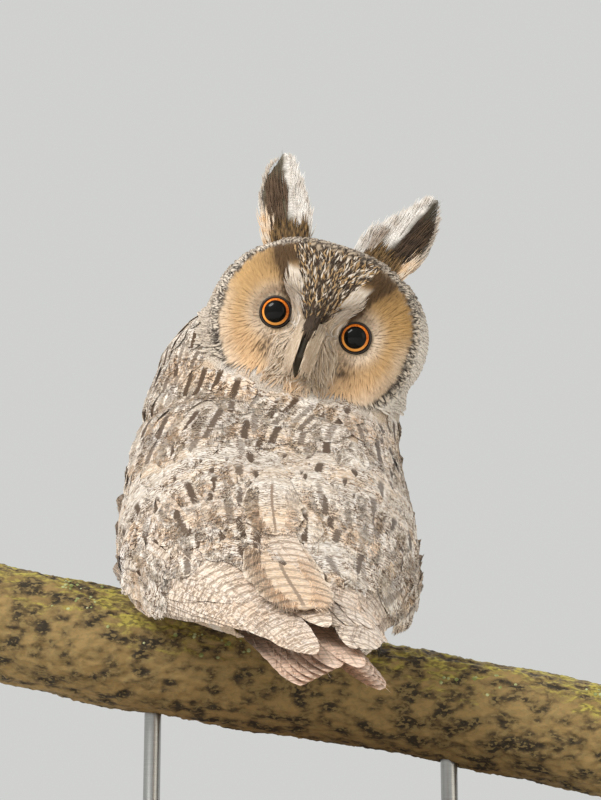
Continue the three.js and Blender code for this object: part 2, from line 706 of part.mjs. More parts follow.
// Tail: six pairs of feathers from one root, the middle pair on top.
const TAIL = { pairs: 6, root: -24, length: 128, width: 19, spread: 11, thick: 0.6, shaft: 0.25, top: 3.6 };
TAIL.layer = 1.9; // from one pair down to the next
TAIL.rootSide = [1.5, 2]; // the first feather's place beside the middle, and the step to the next
TAIL.shorter = 1.4; // from one pair to the next
TAIL.core = { long: 26, wide: [15, 19], deep: [8, 2.4], down: 1.5, stations: 4, sides: 14 };

function makeTail() {
  const { stations, sides, ...core } = TAIL.core;
  const rings = [];
  for (let k = 0; k <= stations; k++) {
    const share = k / stations;
    const at = mix(TORSO.from - GAP, TAIL.root - core.long, share);
    const { origin, toLeft, toBack } = spineFrame(at, BED_SECTIONS);
    const ring = [];
    for (let i = 0; i < sides; i++) {
      const turn = (2 * Math.PI * i) / sides;
      const point = origin.clone().addScaledVector(toLeft, mix(...core.wide, share) * Math.sin(turn));
      ring.push(point.addScaledVector(toBack, mix(...core.deep, share) * Math.cos(turn) - core.down));
    }
    rings.push(ring);
  }
  const pieces = [loft(rings)];
  for (let i = 0; i < TAIL.pairs; i++) {
    for (const side of [LEFT, RIGHT]) {
      const rootSide = TAIL.rootSide[0] + TAIL.rootSide[1] * i;
      const tipSide = 4.5 + (TAIL.spread * i) / (TAIL.pairs - 1);
      const drop = TAIL.layer * (side === RIGHT ? i + 0.5 : i);
      const length = TAIL.length - TAIL.shorter * i;
      const place = (t) => {
        const { origin, toLeft, toBack } = spineFrame(TAIL.root - length * t, BED_SECTIONS);
        const s = mix(rootSide, tipSide, t);
        const point = origin.addScaledVector(toLeft, -side * s).addScaledVector(toBack, TAIL.top - drop);
        return { point, normal: toBack };
      };
      pieces.push(vane(place, { width: TAIL.width, thick: TAIL.thick, shaft: TAIL.shaft, droop: 0 }));
    }
  }
  add("tail", union(pieces).subtract(torsoShape(GAP)), "back");
}

// The feathered neck, from the shoulders up into the back of the head.
function neckShape(grow = 0) {
  const foot = spineFrame(NECK.from, TORSO_SECTIONS).origin;
  const top = inHead(NECK.topSide, NECK.topUp, NECK.topOut);
  const axis = top.clone().sub(foot).normalize();
  const side = V(1, 0, 0);
  const front = axis.clone().cross(side).normalize();
  const rings = NECK.rings.map(({ t, wide, deep, sway, ahead }) => {
    const middle = foot.clone().lerp(top, t).addScaledVector(side, sway).add(V(0, ahead, 0));
    middle.addScaledVector(axis, t === 0 ? -grow : t === 1 ? grow : 0);
    return Array.from({ length: NECK.sides }, (_, i) => {
      const turn = (2 * Math.PI * i) / NECK.sides;
      const reach = middle.clone().addScaledVector(side, (wide + grow) * Math.cos(turn));
      return reach.addScaledVector(front, (deep + grow) * Math.sin(turn));
    });
  });
  return loft(rings);
}

function makeBody() {
  const head = headShape(GAP);
  add("torso", torsoShape().subtract(head).subtract(perchShape(GAP)), "back");
  add("neck", neckShape().subtract(head).subtract(torsoShape(GAP)), "back");
}

// Ear tufts: a fan of long feathers each, stacked from front to back on a short core.
function makeTufts() {
  const head = headShape(GAP);
  for (const { name, side, aside, up, lean: middleLean } of TUFT.pair) {
    const root = V(side * aside, up, TUFT.out);
    const pieces = [];
    const heading = (angle) => {
      const lean = middleLean + angle;
      const rise = Math.cos(lean) * Math.cos(TUFT.back);
      return V(side * Math.sin(lean), rise, -Math.sin(TUFT.back)).normalize();
    };
    for (let i = 0; i < TUFT.feathers; i++) {
      const share = (i / (TUFT.feathers - 1)) * 2 - 1;
      const towards = heading(TUFT.fan * share);
      const length = TUFT.length * (1 - 0.3 * share * share);
      const depth = -TUFT.layer * (i - (TUFT.feathers - 1) / 2);
      const place = (t) => {
        const along = root.clone().addScaledVector(towards, length * t);
        const point = inHead(along.x, along.y, along.z + depth - 3 * t * t);
        return { point, normal: V(0, 0, 1).transformDirection(headFrame) };
      };
      pieces.push(vane(place, { width: TUFT.width, thick: TUFT.thick, shaft: 0, outline: TUFT_OUTLINE }));
    }
    const { shares, radii, sides, flat, behind } = TUFT.core;
    const core = shares.map((t) => {
      const along = root.clone().addScaledVector(heading(0), TUFT.length * t);
      return inHead(along.x, along.y, along.z - behind);
    });
    pieces.push(tube(core, radii, sides, V(0, 0, 1).transformDirection(headFrame), flat));
    add(name, union(pieces).subtract(head), "tuft");
  }
}

// Legs and feet

function makeFeet() {
  const torso = torsoShape(GAP);
  for (const [name, side] of [["left", LEFT], ["right", RIGHT]]) {
    const centre = FOOT.middle + side * FOOT.apart;
    const padShape = (grow) => {
      const pad = new THREE.IcosahedronGeometry(1, 1);
      pad.scale(FOOT.padWide + grow, FOOT.padLong + grow, FOOT.padHigh + grow);
      const middle = onPerch(centre, FOOT.angle, FOOT.padHigh + 1);
      return solid(pad.translate(middle.x, middle.y, middle.z));
    };
    add(`foot_${name}`, padShape(0), "leg");
    const ankle = onPerch(centre, FOOT.angle, FOOT.padHigh + 3);
    const hip = onBody(TORSO_SECTIONS, FOOT.hip.at, (180 + side * FOOT.hip.angle) * DEG, -FOOT.hip.under);
    const shin = [0, 0.35, 0.7, 1].map((t) => ankle.clone().lerp(hip, t));
    const leg = tube(shin, FOOT.shinRadius, 12, V(0, 1, 0));
    add(`leg_${name}`, leg.subtract(padShape(GAP)).subtract(torso), "leg");

    // Toes 1 and 2 go over the front of the perch, 3 and 4 over the back.
    const toes = [
      { from: -5, to: -14, path: FOOT.frontAngles, hook: FOOT.frontClaw },
      { from: 5, to: 13, path: FOOT.frontAngles, hook: FOOT.frontClaw },
      { from: -5, to: -11, path: FOOT.hindAngles, hook: FOOT.hindClaw },
      { from: 5, to: 15, path: FOOT.hindAngles, hook: FOOT.hindClaw },
    ];
    toes.forEach(({ from, to, path, hook }, n) => {
      const joints = path.map((angle, k) => {
        const radius = mix(...FOOT.toeRadius, k / 4);
        const knuckle = k % 2 ? 0.7 : 0;
        return { radius, point: onPerch(centre + mix(from, to, k / 4), angle * DEG, radius + 0.9 + knuckle) };
      });
      const toePath = joints.map((j) => j.point);
      const toeRadii = joints.map((j) => j.radius);
      const toeShape = (grow) => tube(toePath, toeRadii, 7, perchTop, 1, grow);
      add(`toe_${name}_${n + 1}`, toeShape(0).subtract(padShape(GAP)), "leg");
      const curve = hook.map((angle, k) =>
        onPerch(centre + mix(to, to * 1.12, k / 3), angle * DEG, FOOT.clawHeight[k]),
      );
      const claw = tube(curve, FOOT.clawRadius, 6, perchAlong);
      add(`claw_${name}_${n + 1}`, claw.subtract(toeShape(GAP)), "horn");
    });
  }
}

makeStand();
makeBody();
makeHead();
makeTufts();
makeWings();
makeTail();
makeFeet();

export default owl;
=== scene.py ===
# %% [markdown]
# # A long-eared owl that looks back over its shoulder
# The owl sits on a cut length of branch with its back to us and its head turned right round. The packed
# model gives the solid forms, in metres. This script dresses them: one skin over the flesh, then every kind
# of feather that the bird wears, the eyes, bill and claws, the bark, and the display stand. Sizes are named
# in millimetres and turned into metres when a mesh is made.

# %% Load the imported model
import math

import bmesh
import bpy
import numpy as np
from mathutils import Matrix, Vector, noise
from mathutils.bvhtree import BVHTree


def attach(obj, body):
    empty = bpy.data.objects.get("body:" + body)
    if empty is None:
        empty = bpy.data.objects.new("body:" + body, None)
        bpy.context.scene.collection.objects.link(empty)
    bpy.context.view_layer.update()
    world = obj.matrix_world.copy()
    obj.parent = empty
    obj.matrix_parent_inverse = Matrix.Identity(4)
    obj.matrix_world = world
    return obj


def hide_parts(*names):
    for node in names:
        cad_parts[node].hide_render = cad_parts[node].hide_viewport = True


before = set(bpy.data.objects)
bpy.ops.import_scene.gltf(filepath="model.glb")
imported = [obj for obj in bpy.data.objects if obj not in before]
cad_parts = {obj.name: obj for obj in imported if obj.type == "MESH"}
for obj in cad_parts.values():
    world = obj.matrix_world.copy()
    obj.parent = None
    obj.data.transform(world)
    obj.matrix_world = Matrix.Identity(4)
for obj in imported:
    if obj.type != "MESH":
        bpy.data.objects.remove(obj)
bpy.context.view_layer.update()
MM = 0.001
# Sides as the camera sees them. The head is turned round, so its own left is on the right.
LEFT, RIGHT = -1, 1
print("nodes in the frame:", len(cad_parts))

# %% [markdown]
# ## The lines the bird is built on
# A bird's feathers follow its body, so each coat needs to know where the spine runs and which way the head
# faces. The body's places are read as a distance along the spine from the tail's root, an angle round it
# from the middle of the back, and a height. The same few sizes drive the solids, so that feathers land
# where the solids are.

# %% The spine and the bed on which the wings lie
PERCH_TOP = 112.5
SPINE_ROOT = np.array([0.0, -50.0, PERCH_TOP + 15])
TAIL_SLOPE, NECK_SLOPE = math.radians(20), math.radians(50)
BEND_START, BEND_END = -45.0, 170.0
BODY_ROLL = math.radians(4)
BED = {
    "at": [-190, -165, -110, -60, -12, 35, 75, 115, 148, 172, 196],
    "wide": [13, 16, 29, 40, 54, 61.5, 64.5, 63, 62, 58, 49],
    "back": [4, 5, 10, 18, 27, 36, 41.5, 40.5, 34.5, 24, 12],
    "belly": [3, 4, 9, 18, 28, 36, 43.5, 50.5, 47.5, 40, 30],
    "sway": [24, 20, 10, -4, -11, -13, -14, -15, -16.5, -15, -14],
}
BED = {key: np.array(row, float) for key, row in BED.items()}


def unit(v):
    return v / np.maximum(np.linalg.norm(v, axis=-1, keepdims=True), 1e-9)


def smooth(low, high, x):
    t = np.clip((x - low) / (high - low), 0, 1)
    return t * t * (3 - 2 * t)


def bell(x, width):
    return np.exp(-((x / width) ** 2))


def mix(a, b, t):
    return a + (b - a) * t


def read_bed(key, at):
    """One of the bed's rows at any place on the spine, as a smooth curve through its values."""
    places, row = BED["at"], BED[key]
    at = np.clip(at, places[0], places[-1])
    i = np.clip(np.searchsorted(places, at, side="right") - 1, 0, len(places) - 2)
    before, after = np.maximum(np.arange(len(row)) - 1, 0), np.minimum(np.arange(len(row)) + 1, len(row) - 1)
    slope = (row[after] - row[before]) / (places[after] - places[before])
    span = places[i + 1] - places[i]
    t = (at - places[i]) / span
    start = (2 * t**3 - 3 * t**2 + 1) * row[i] + (t**3 - 2 * t**2 + t) * span * slope[i]
    return start + (3 * t**2 - 2 * t**3) * row[i + 1] + (t**3 - t**2) * span * slope[i + 1]


def spine_point(at):
    bend = (NECK_SLOPE - TAIL_SLOPE) / (BEND_END - BEND_START)
    slope_at = lambda x: TAIL_SLOPE + bend * (x - BEND_START)
    arc = np.clip(at, BEND_START, BEND_END)
    slope, root_slope = slope_at(arc), slope_at(0)
    y = (np.sin(slope) - np.sin(root_slope)) / bend + (at - arc) * np.cos(slope)
    z = (np.cos(root_slope) - np.cos(slope)) / bend + (at - arc) * np.sin(slope)
    return np.stack([read_bed("sway", at), SPINE_ROOT[1] + y, SPINE_ROOT[2] + z], -1)


def spine_frame(at):
    """The spine's point and its directions to the head, to the bird's left and to its back."""
    headward = unit(spine_point(at + 1) - spine_point(at - 1))
    level = unit(np.cross([0, 0, 1], headward))
    to_left = level * math.cos(BODY_ROLL) + np.cross(headward, level) * math.sin(BODY_ROLL)
    return spine_point(at), headward, to_left, np.cross(headward, to_left)


def on_bed(at, angle, height=0.0):
    """Points over the bed. The angle is in degrees from the back's middle, positive to the bird's left."""
    at, angle, height = np.broadcast_arrays(np.asarray(at, float), np.radians(angle), height)
    origin, _, to_left, to_back = spine_frame(at)
    deep = np.where(np.cos(angle) >= 0, read_bed("back", at), read_bed("belly", at)) + height
    wide = read_bed("wide", at) + height
    return origin + to_left * (wide * np.sin(angle))[..., None] + to_back * (deep * np.cos(angle))[..., None]


print("bed from", on_bed(-190, 0).round(), "to", on_bed(196, 0).round())

# %% The head's own directions
HEAD_MIDDLE = np.array([10.0, 62.0, PERCH_TOP + 166.7])
HEAD_PITCH, HEAD_ROLL, HEAD_YAW = math.radians(12), math.radians(19.7), math.radians(-6)


def head_axes():
    flat = math.cos(HEAD_PITCH)
    out = np.array([math.sin(HEAD_YAW) * flat, -math.cos(HEAD_YAW) * flat, -math.sin(HEAD_PITCH)])
    level = unit(np.cross([0, 0, 1], out))
    raised = np.cross(out, level)
    up = raised * math.cos(HEAD_ROLL) + level * math.sin(HEAD_ROLL)
    side = level * math.cos(HEAD_ROLL) - raised * math.sin(HEAD_ROLL)
    return np.stack([side, up, out])


HEAD_AXES = head_axes()


def in_head(side, up, out):
    """A place on the head, measured to its side, up and out through the face, as a point of the model."""
    return HEAD_MIDDLE + np.stack(np.broadcast_arrays(side, up, out), -1) @ HEAD_AXES


def to_head(points):
    return (points - HEAD_MIDDLE) @ HEAD_AXES.T


NECK_FOOT, NECK_TOP = spine_point(np.array(130.0)), in_head(-5, 8, -30)
NECK_AXIS = unit(NECK_TOP - NECK_FOOT)
print("head looks along", HEAD_AXES[2].round(2), "neck rises along", NECK_AXIS.round(2))

# %% [markdown]
# ## Colours
# The bird wears one small palette everywhere: cream, grey, buff, several browns and near-black. They are
# written as they look on a screen and turned into the linear values that a shader wants.

# %% The palette


def tone(red, green, blue):
    """A colour given from 0 to 255 as seen, in the linear values of a shader."""
    seen = np.array([red, green, blue]) / 255
    return np.where(seen <= 0.04045, seen / 12.92, ((seen + 0.055) / 1.055) ** 2.4)


WHITE = tone(243, 238, 232)
CREAM = tone(226, 212, 194)
GREY = tone(196, 184, 172)
BUFF = tone(222, 184, 142)
TAN = tone(196, 158, 108)
OCHRE = tone(164, 130, 84)
BROWN = tone(112, 90, 72)
UMBER = tone(82, 64, 48)
SOOT = tone(44, 36, 30)
PINK_BUFF = tone(226, 184, 156)
EARTH = tone(72, 50, 30)
# The olive is painted shade, for the side of the face turned away from the light
PAINTED_SHADE_OLIVE = tone(152, 116, 62)


def blend(colour, towards, amount):
    return colour + (towards - colour) * np.asarray(amount)[..., None]


def patches(points, size, seed):
    """A soft, patchy value from 0 to 1 at each point, the same every time. The size is in millimetres."""
    draw = np.random.default_rng(seed)
    waves = unit(draw.normal(size=(9, 3))) * draw.uniform(0.6, 1.7, (9, 1)) * 2 * math.pi / size
    total = np.sin(points @ waves.T + draw.uniform(0, 2 * math.pi, 9)).sum(-1)
    return np.clip(0.5 + total / 7.5, 0, 1)


print("palette ready, cream is", CREAM.round(3))

# %% [markdown]
# ## One plumage shader
# A real feather has a dark shaft line, bars across its vane, and between them the fine wavy lines called
# vermiculation. The shader draws these from three things that every feather carries in its mesh: the UV map
# `Feather` (across and along), `lie` (the same in millimetres, with a different third value for each
# feather), and `marks` (how strong its streak, wavy lines and bars are). The ground colour is worked out
# from the place on the body. Nothing in it depends on the camera, so the pattern stays put in every view.

# %% A short way to write shader nodes


class Shader:
    """Builds one material; each method adds a node and gives back its output."""

    def __init__(self, name):
        self.material = bpy.data.materials.new(name)
        self.material.use_nodes = True
        self.tree = self.material.node_tree
        self.surface = self.tree.nodes["Principled BSDF"]

    def node(self, kind, settings=None, **inputs):
        made = self.tree.nodes.new("ShaderNode" + kind)
        for key, value in (settings or {}).items():
            setattr(made, key, value)
        for key, value in inputs.items():
            self.put(made.inputs[key.replace("_", " ")], value)
        return made

    def put(self, socket, value):
        if isinstance(value, bpy.types.NodeSocket):
            self.tree.links.new(value, socket)
        elif isinstance(value, (tuple, list, np.ndarray)) and socket.type == "RGBA":
            socket.default_value = (*[float(x) for x in value], 1.0)
        else:
            socket.default_value = value

    def math(self, operation, first, second=0.0):
        made = self.node("Math", {"operation": operation})
        self.put(made.inputs[0], first)
        self.put(made.inputs[1], second)
        return made.outputs[0]

    def times(self, first, second):
        return self.math("MULTIPLY", first, second)

    def step(self, low, high, value):
        """A smooth step from 0 at low to 1 at high."""
        made = self.node("MapRange", {"interpolation_type": "SMOOTHSTEP"})
        for socket, x in zip(made.inputs, (value, low, high, 0.0, 1.0)):
            self.put(socket, x)
        return made.outputs[0]

    def mix(self, amount, first, second):
        """Blends two colours, sockets 6 and 7 of a Mix node. Its others take numbers and vectors."""
        made = self.node("Mix", {"data_type": "RGBA"})
        for index, value in ((0, amount), (6, first), (7, second)):
            self.put(made.inputs[index], value)
        return made.outputs[2]

    def attribute(self, name):
        return self.node("Attribute", {"attribute_name": name})

    def parts(self, vector):
        """The three numbers of a vector."""
        return self.node("SeparateXYZ", Vector=vector).outputs

    def noise(self, where, scale, detail=2.0, stretch=None):
        if stretch:
            where = self.node("Mapping", Vector=where, Scale=stretch).outputs[0]
        return self.node("TexNoise", Vector=where, Scale=scale, Detail=detail).outputs["Fac"]

    def finish(self, colour, bump=None, strength=0.3, distance=0.0002, **sockets):
        self.put(self.surface.inputs["Base Color"], colour)
        if bump is not None:
            raised = self.node("Bump", Height=bump, Strength=strength, Distance=distance)
            self.put(self.surface.inputs["Normal"], raised.outputs[0])
        for key, value in sockets.items():
            self.put(self.surface.inputs[key.replace("_", " ")], value)
        return self.material


# %% The plumage material
# The length of a wave in Blender's Wave Texture at scale 1, and the distance between two barbs of a feather
UNIT_WAVE, BARB_STEP = 0.314, 0.55
# Between which shares of a feather's length its streak fades in from the root, and out at the tip
STREAK_IN, STREAK_OUT = (0.24, 0.38), (1.0, 0.95)
# How far a bar bends towards the tip beside the shaft, for each square millimetre
BAR_BEND = -0.035


def plumage(name, streak=0.09, dark=UMBER, lines=BROWN, wave=2.3, bar=8.0, ragged=0.13, barbs=0.2,
            flecks=0.4):
    """Feathers. The streak is a share of the width; wave and bar are the lines' distances in millimetres."""
    make = Shader(name)
    ground = make.attribute("ground").outputs["Color"]
    streak_mark, wave_mark, bar_mark = make.parts(make.attribute("marks").outputs["Vector"])
    lie = make.attribute("lie").outputs["Vector"]
    aside, onward, _ = make.parts(lie)
    across, along, _ = make.parts(make.node("UVMap", {"uv_map": "Feather"}).outputs[0])
    wobble = make.noise(lie, 0.55)

    # Fine wavy lines, stronger in some places than in others, with pale flecks between them
    scale = UNIT_WAVE / wave
    settings = {"wave_type": "BANDS", "bands_direction": "Y"}
    wavy = make.node("TexWave", settings, Vector=lie, Scale=scale, Distortion=9.0, Detail=2.0)
    make.put(wavy.inputs["Detail Scale"], 0.4 / scale)
    line = make.step(0.42, 0.7, wavy.outputs["Fac"])
    body = make.node("TexCoord").outputs["Object"]
    cloud = make.step(0.3, 0.62, make.noise(body, 90.0))
    fleck = make.step(0.5, 0.6, make.noise(body, 430.0, stretch=(1.0, 1.0, 0.7)))
    darker = make.times(line, make.math("ADD", make.times(cloud, 0.65), 0.35))
    colour = make.mix(make.times(darker, wave_mark), ground, lines)
    colour = make.mix(make.times(make.times(fleck, flecks), wave_mark), colour, WHITE)

    # Bars across the vane
    bent = make.times(make.times(aside, aside), BAR_BEND)
    place = make.math("ADD", make.math("ADD", onward, bent), make.times(wobble, 2.4))
    bars = make.math("SINE", make.times(place, 2 * math.pi / bar))
    colour = make.mix(make.times(make.step(0.35, 0.85, bars), bar_mark), colour, dark)

    # The dark streak along the shaft, with ragged edges
    off_middle = make.math("ABSOLUTE", make.math("SUBTRACT", across, 0.5))
    frayed = make.math("ADD", wobble, make.times(make.noise(lie, 1.9), 0.8))
    wander = make.times(make.math("SUBTRACT", frayed, 0.9), ragged)
    off_shaft = make.math("ADD", off_middle, wander)
    shaft = make.math("SUBTRACT", 1.0, make.step(streak * 0.7, streak * 1.15, off_shaft))
    shown = make.times(make.step(*STREAK_IN, along), make.step(*STREAK_OUT, along))
    colour = make.mix(make.times(make.times(shaft, shown), streak_mark), colour, dark)

    # The relief of the slanting barbs
    slant = make.math("ADD", onward, make.math("ABSOLUTE", aside))
    barb = make.math("SINE", make.times(slant, 2 * math.pi / BARB_STEP))
    finish = {"Roughness": 0.85, "Specular_IOR_Level": 0.2, "Sheen_Weight": 0.15, "Sheen_Roughness": 0.5}
    return make.finish(colour, bump=barb, strength=barbs, distance=0.0001, **finish)


PLUMAGE = plumage("back_plumage")
print("material", PLUMAGE.name, "with", len(PLUMAGE.node_tree.nodes), "nodes")

# %% [markdown]
# ## Which colour where
# Each place on the bird gets a ground colour and the strength of its three kinds of mark, as smooth
# formulas of where it lies on the back or on the face. The skin reads the same formulas, so where feathers
# part, the same markings show through.

# %% Markings of the body


def spine_place(points):
    """Where each point lies along the spine, and its angle from the middle of the back."""
    at = np.arange(-190.0, 231.0, 5.0)
    origin, headward, to_left, to_back = spine_frame(at)
    nearest = ((points[:, None] - origin[None]) ** 2).sum(-1).argmin(1)
    offset = points - origin[nearest]
    along = (offset * headward[nearest]).sum(-1)
    left, back = (offset * to_left[nearest]).sum(-1), (offset * to_back[nearest]).sum(-1)
    return at[nearest] + along, np.degrees(np.arctan2(left, back))


def body_paint(points):
    """Ground colour and (streak, wavy lines, bars) for points on the torso, wings and neck."""
    at, angle = spine_place(points)
    under = smooth(105, 140, np.abs(angle))
    colour = blend(CREAM, GREY, 0.5 * patches(points, 46, 3))
    colour = blend(colour, WHITE, 0.4 * smooth(0.5, 0.85, patches(points, 17, 5)))
    colour = blend(colour, BUFF, 0.5 * smooth(0.56, 0.78, patches(points, 24, 8)))
    colour = blend(colour, BUFF, 0.55 * under)
    large_spot = smooth(10, 4, np.hypot(0.7 * (at - 8), (angle - 82) * 0.9))
    small_spot = smooth(7, 3, np.hypot(at - 2, angle - 66))
    colour = blend(colour, WHITE, 0.9 * np.clip(large_spot + small_spot, 0, 1))
    marks = np.stack([1.0 - 0.3 * under, 1.0 - 0.6 * under, 0.2 + 0 * at], -1)
    return colour, marks


# %% Markings of the head
EYE_SIDE, EYE_OUT, EYE_RADIUS = 21.7, 15.2, 10.5
DISC_WIDE, DISC_HIGH, DISC_LOW = 51.5, 43.0, -1.0
CHIN_SIDES = [-60, -38, -22, -9, 3, 15, 30, 44, 56]
CHIN_HEIGHTS = [-30, -30, -28, -30, -31, -27.5, -27.5, -31, -36]


def brow_line(side, up):
    """Distance outwards from the middle of the pale brow, which curves away from the bill's root."""
    up = np.clip(up, -12, 34)
    return np.abs(side) - 9.5 - 0.18 * up - 0.0085 * up**2


def chin_line(side):
    """How far up the face the mantle reaches, for places from the bird's right to its left."""
    return np.interp(side, CHIN_SIDES, CHIN_HEIGHTS)


def disc_reach(side, up):
    """1 on the edge of the facial disc, less inside it."""
    power = 2.3
    across, along = np.abs(side) / DISC_WIDE, np.abs(up - DISC_LOW) / DISC_HIGH
    return (across**power + along**power) ** (1 / power)


def head_paint(points):
    """Ground colour and marks for points on the head: disc, brows, forehead, rim and crown."""
    side, up, out = to_head(points).T
    across = np.abs(side)
    front = (out > 0).astype(float)
    reach = disc_reach(side, up) + 0.03 * (patches(points, 5, 17) - 0.5)
    brow_off = brow_line(side, up)
    from_eye = np.hypot(across - EYE_SIDE, up)
    grainy = patches(points, 1.9, 31)

    # The crown, over which the rest is painted
    crown = blend(GREY, OCHRE, 0.5 * smooth(0.4, 0.75, patches(points, 9, 12)))
    crown = blend(crown, CREAM, patches(points, 4, 21))
    colour = blend(crown, blend(UMBER, SOOT, 0.5), 0.9 * smooth(0.46, 0.6, grainy))
    marks = np.stack([0.5 + 0 * up, 0.3 + 0 * up, 0 * up], -1)

    # The disc: tan, buff below and ochre above, with cream beside the eyes and along the lower edge, and
    # painted shade in olive on its right half, the side turned away from the key light
    disc = blend(TAN, BUFF, smooth(8, -26, up) * 0.8)
    disc = blend(disc, OCHRE, 0.45 * smooth(6, 26, up))
    # Painted shade: the right half of the disc, away from the light, is darkened to olive
    disc = blend(disc, PAINTED_SHADE_OLIVE, 0.5 * smooth(8, 34, side) * smooth(-30, -6, up))
    disc = blend(disc, CREAM, 0.6 * bell(from_eye - 11, 5) * smooth(-10, 4, across - EYE_SIDE))
    disc = blend(disc, CREAM, 0.5 * smooth(0.78, 0.97, reach) * smooth(14, -6, up))
    disc = blend(disc, BROWN, 0.14 * smooth(0.45, 0.75, patches(points, 3.0, 19)))
    on_disc = smooth(1.0, 0.96, reach) * front
    colour = blend(colour, disc, on_disc)
    marks[:, :2] *= (1 - on_disc)[:, None]

    # Dark marks beside and over the brows, in the inner corner of each eye and below it
    ragged = brow_off + 2.2 * (patches(points, 3.2, 24) - 0.5)
    beside_brow = smooth(2.4, 3.6, ragged) * smooth(12, 7, ragged) * smooth(6, 12, up) * smooth(37, 30, up)
    over_brow = 1.3 * bell(across - 19, 11) * bell(up - 33.5, 6)
    fading = 0.6 * bell(across - 28, 9) * bell(up - 28, 8)
    corner = 1.3 * bell(across - 15, 3.0) * bell(up - 8.5, 5)
    mottled = 0.4 + 0.9 * smooth(0.35, 0.6, patches(points, 3.4, 23))
    beneath = bell(across - 19.5, 6.5) * bell(up + 18.5, 6.5) * mottled
    dark = np.clip(beside_brow + over_brow + fading + corner + beneath, 0, 1) * on_disc
    dark = np.maximum(dark, 0.6 * np.clip(over_brow, 0, 1) * front)
    colour = blend(colour, blend(EARTH, SOOT, 0.5 * grainy), 0.92 * dark)

    # The speckled wedge, the pale brows beside it, and the bristles beside the bill
    wedge = smooth(-3.2, -4.4, ragged) * smooth(-9, -4, up) * front * smooth(47, 40, up)
    ground = blend(blend(CREAM, OCHRE, 0.5), SOOT, 0.95 * smooth(0.36, 0.5, grainy))
    colour = blend(colour, blend(ground, SOOT, 0.2 + 0.6 * smooth(12, -1, up)), wedge)
    brow = smooth(4.2, 3.0, np.abs(brow_off)) * smooth(-12, -6, up) * smooth(27, 22, up) * front
    lores = bell(across - 8.5, 7.5) * smooth(4, -4, up) * smooth(-40, -28, up) * front
    colour = blend(colour, blend(CREAM, OCHRE, 0.1), np.clip(lores, 0, 1))
    colour = blend(colour, blend(blend(WHITE, CREAM, 0.6), OCHRE, 0.25 * grainy), np.clip(1.15 * brow, 0, 1))
    marks *= (1 - np.clip(wedge + brow + lores, 0, 1))[:, None]

    # The speckled rim with its thin dark line, and the pale ruff behind it, whiter on the right
    aside = smooth(42, 30, up)
    band = smooth(0.98, 1.0, reach) * smooth(1.13, 1.06, reach) * smooth(-14, -6, out) * aside
    salt = blend(CREAM, SOOT, smooth(0.4, 0.55, grainy))
    colour = blend(colour, salt, 0.75 * band)
    line = bell(reach - 0.99, 0.013) * front * aside
    colour = blend(colour, SOOT, 0.8 * line)
    ruff = smooth(1.04, 1.09, reach) * smooth(-34, -10, out) * smooth(30, 14, up) * smooth(10, 40, side)
    colour = blend(colour, blend(WHITE, CREAM, 0.4), 0.8 * ruff)
    ruff = smooth(1.08, 1.14, reach) * smooth(-34, -10, out) * smooth(26, 6, up) * smooth(40, 10, side)
    colour = blend(colour, blend(CREAM, GREY, 0.3), 0.6 * ruff)
    return colour, marks


print("head and body markings defined")

# %% [markdown]
# ## From solids to one skin
# Bird skin is hardly ever seen, but it carries the feathers, so its form decides how they lie. The torso,
# neck, head, legs and toes are separate solids. Joined copies of them, each a little fattened so that they
# touch, are remeshed into one closed surface, smoothed, and drawn in by the depth of the plumage that will
# cover them.

# %% Meshes from arrays


def build_mesh(name, points, triangles, soft_edges=None):
    """A mesh from points in millimetres. Edges sharper than soft_edges, in degrees, stay crisp."""
    mesh = bpy.data.meshes.new(name)
    mesh.vertices.add(len(points))
    mesh.vertices.foreach_set("co", (np.asarray(points) * MM).astype(np.float32).ravel())
    mesh.loops.add(triangles.size)
    mesh.loops.foreach_set("vertex_index", triangles.astype(np.int32).ravel())
    mesh.polygons.add(len(triangles))
    mesh.polygons.foreach_set("loop_start", np.arange(0, triangles.size, 3, dtype=np.int32))
    mesh.update(calc_edges=True)
    mesh.shade_smooth()
    if soft_edges:
        mesh.set_sharp_from_angle(angle=math.radians(soft_edges))
    return mesh


def read_points(mesh):
    points = np.empty(len(mesh.vertices) * 3)
    mesh.vertices.foreach_get("co", points)
    return points.reshape(-1, 3) / MM


def read_normals(mesh):
    normals = np.empty(len(mesh.vertices) * 3)
    mesh.vertex_normals.foreach_get("vector", normals)
    return normals.reshape(-1, 3)


def write_points(mesh, points):
    mesh.vertices.foreach_set("co", (points * MM).astype(np.float32).ravel())
    mesh.update()


def as_mesh(shape, name):
    """A plain mesh from a bmesh, which is freed."""
    mesh = bpy.data.meshes.new(name)
    shape.to_mesh(mesh)
    shape.free()
    return mesh


def new_object(name, data):
    """An object that is linked to the scene."""
    made = bpy.data.objects.new(name, data)
    bpy.context.scene.collection.objects.link(made)
    return made


LAYER_KEYS = {"FLOAT_COLOR": "color", "FLOAT_VECTOR": "vector", "FLOAT": "value"}


def point_layer(mesh, name, kind, values):
    """Stores a value at every point of a mesh, for shaders and trees to read by its name."""
    layer = mesh.attributes.new(name, kind, "POINT")
    layer.data.foreach_set(LAYER_KEYS[kind], values.astype(np.float32).ravel())


def paint_points(mesh, ground, marks):
    """Stores the ground colour and the strength of the three kinds of mark."""
    opaque = np.concatenate([ground, np.ones((len(ground), 1))], 1)
    point_layer(mesh, "ground", "FLOAT_COLOR", opaque)
    point_layer(mesh, "marks", "FLOAT_VECTOR", marks)


def split_quads(a, b, c, d):
    """Two triangles for every face with the corners a, b, c and d."""
    return [np.stack([a, b, c], -1).reshape(-1, 3), np.stack([a, c, d], -1).reshape(-1, 3)]


def piece(name, mesh, material, replaces=()):
    """Shows a mesh as a piece of the model that rides on its one body."""
    shown = new_object(name, mesh)
    mesh.materials.clear()
    mesh.materials.append(material)
    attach(shown, "root")
    if replaces:
        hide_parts(*replaces)
    return shown


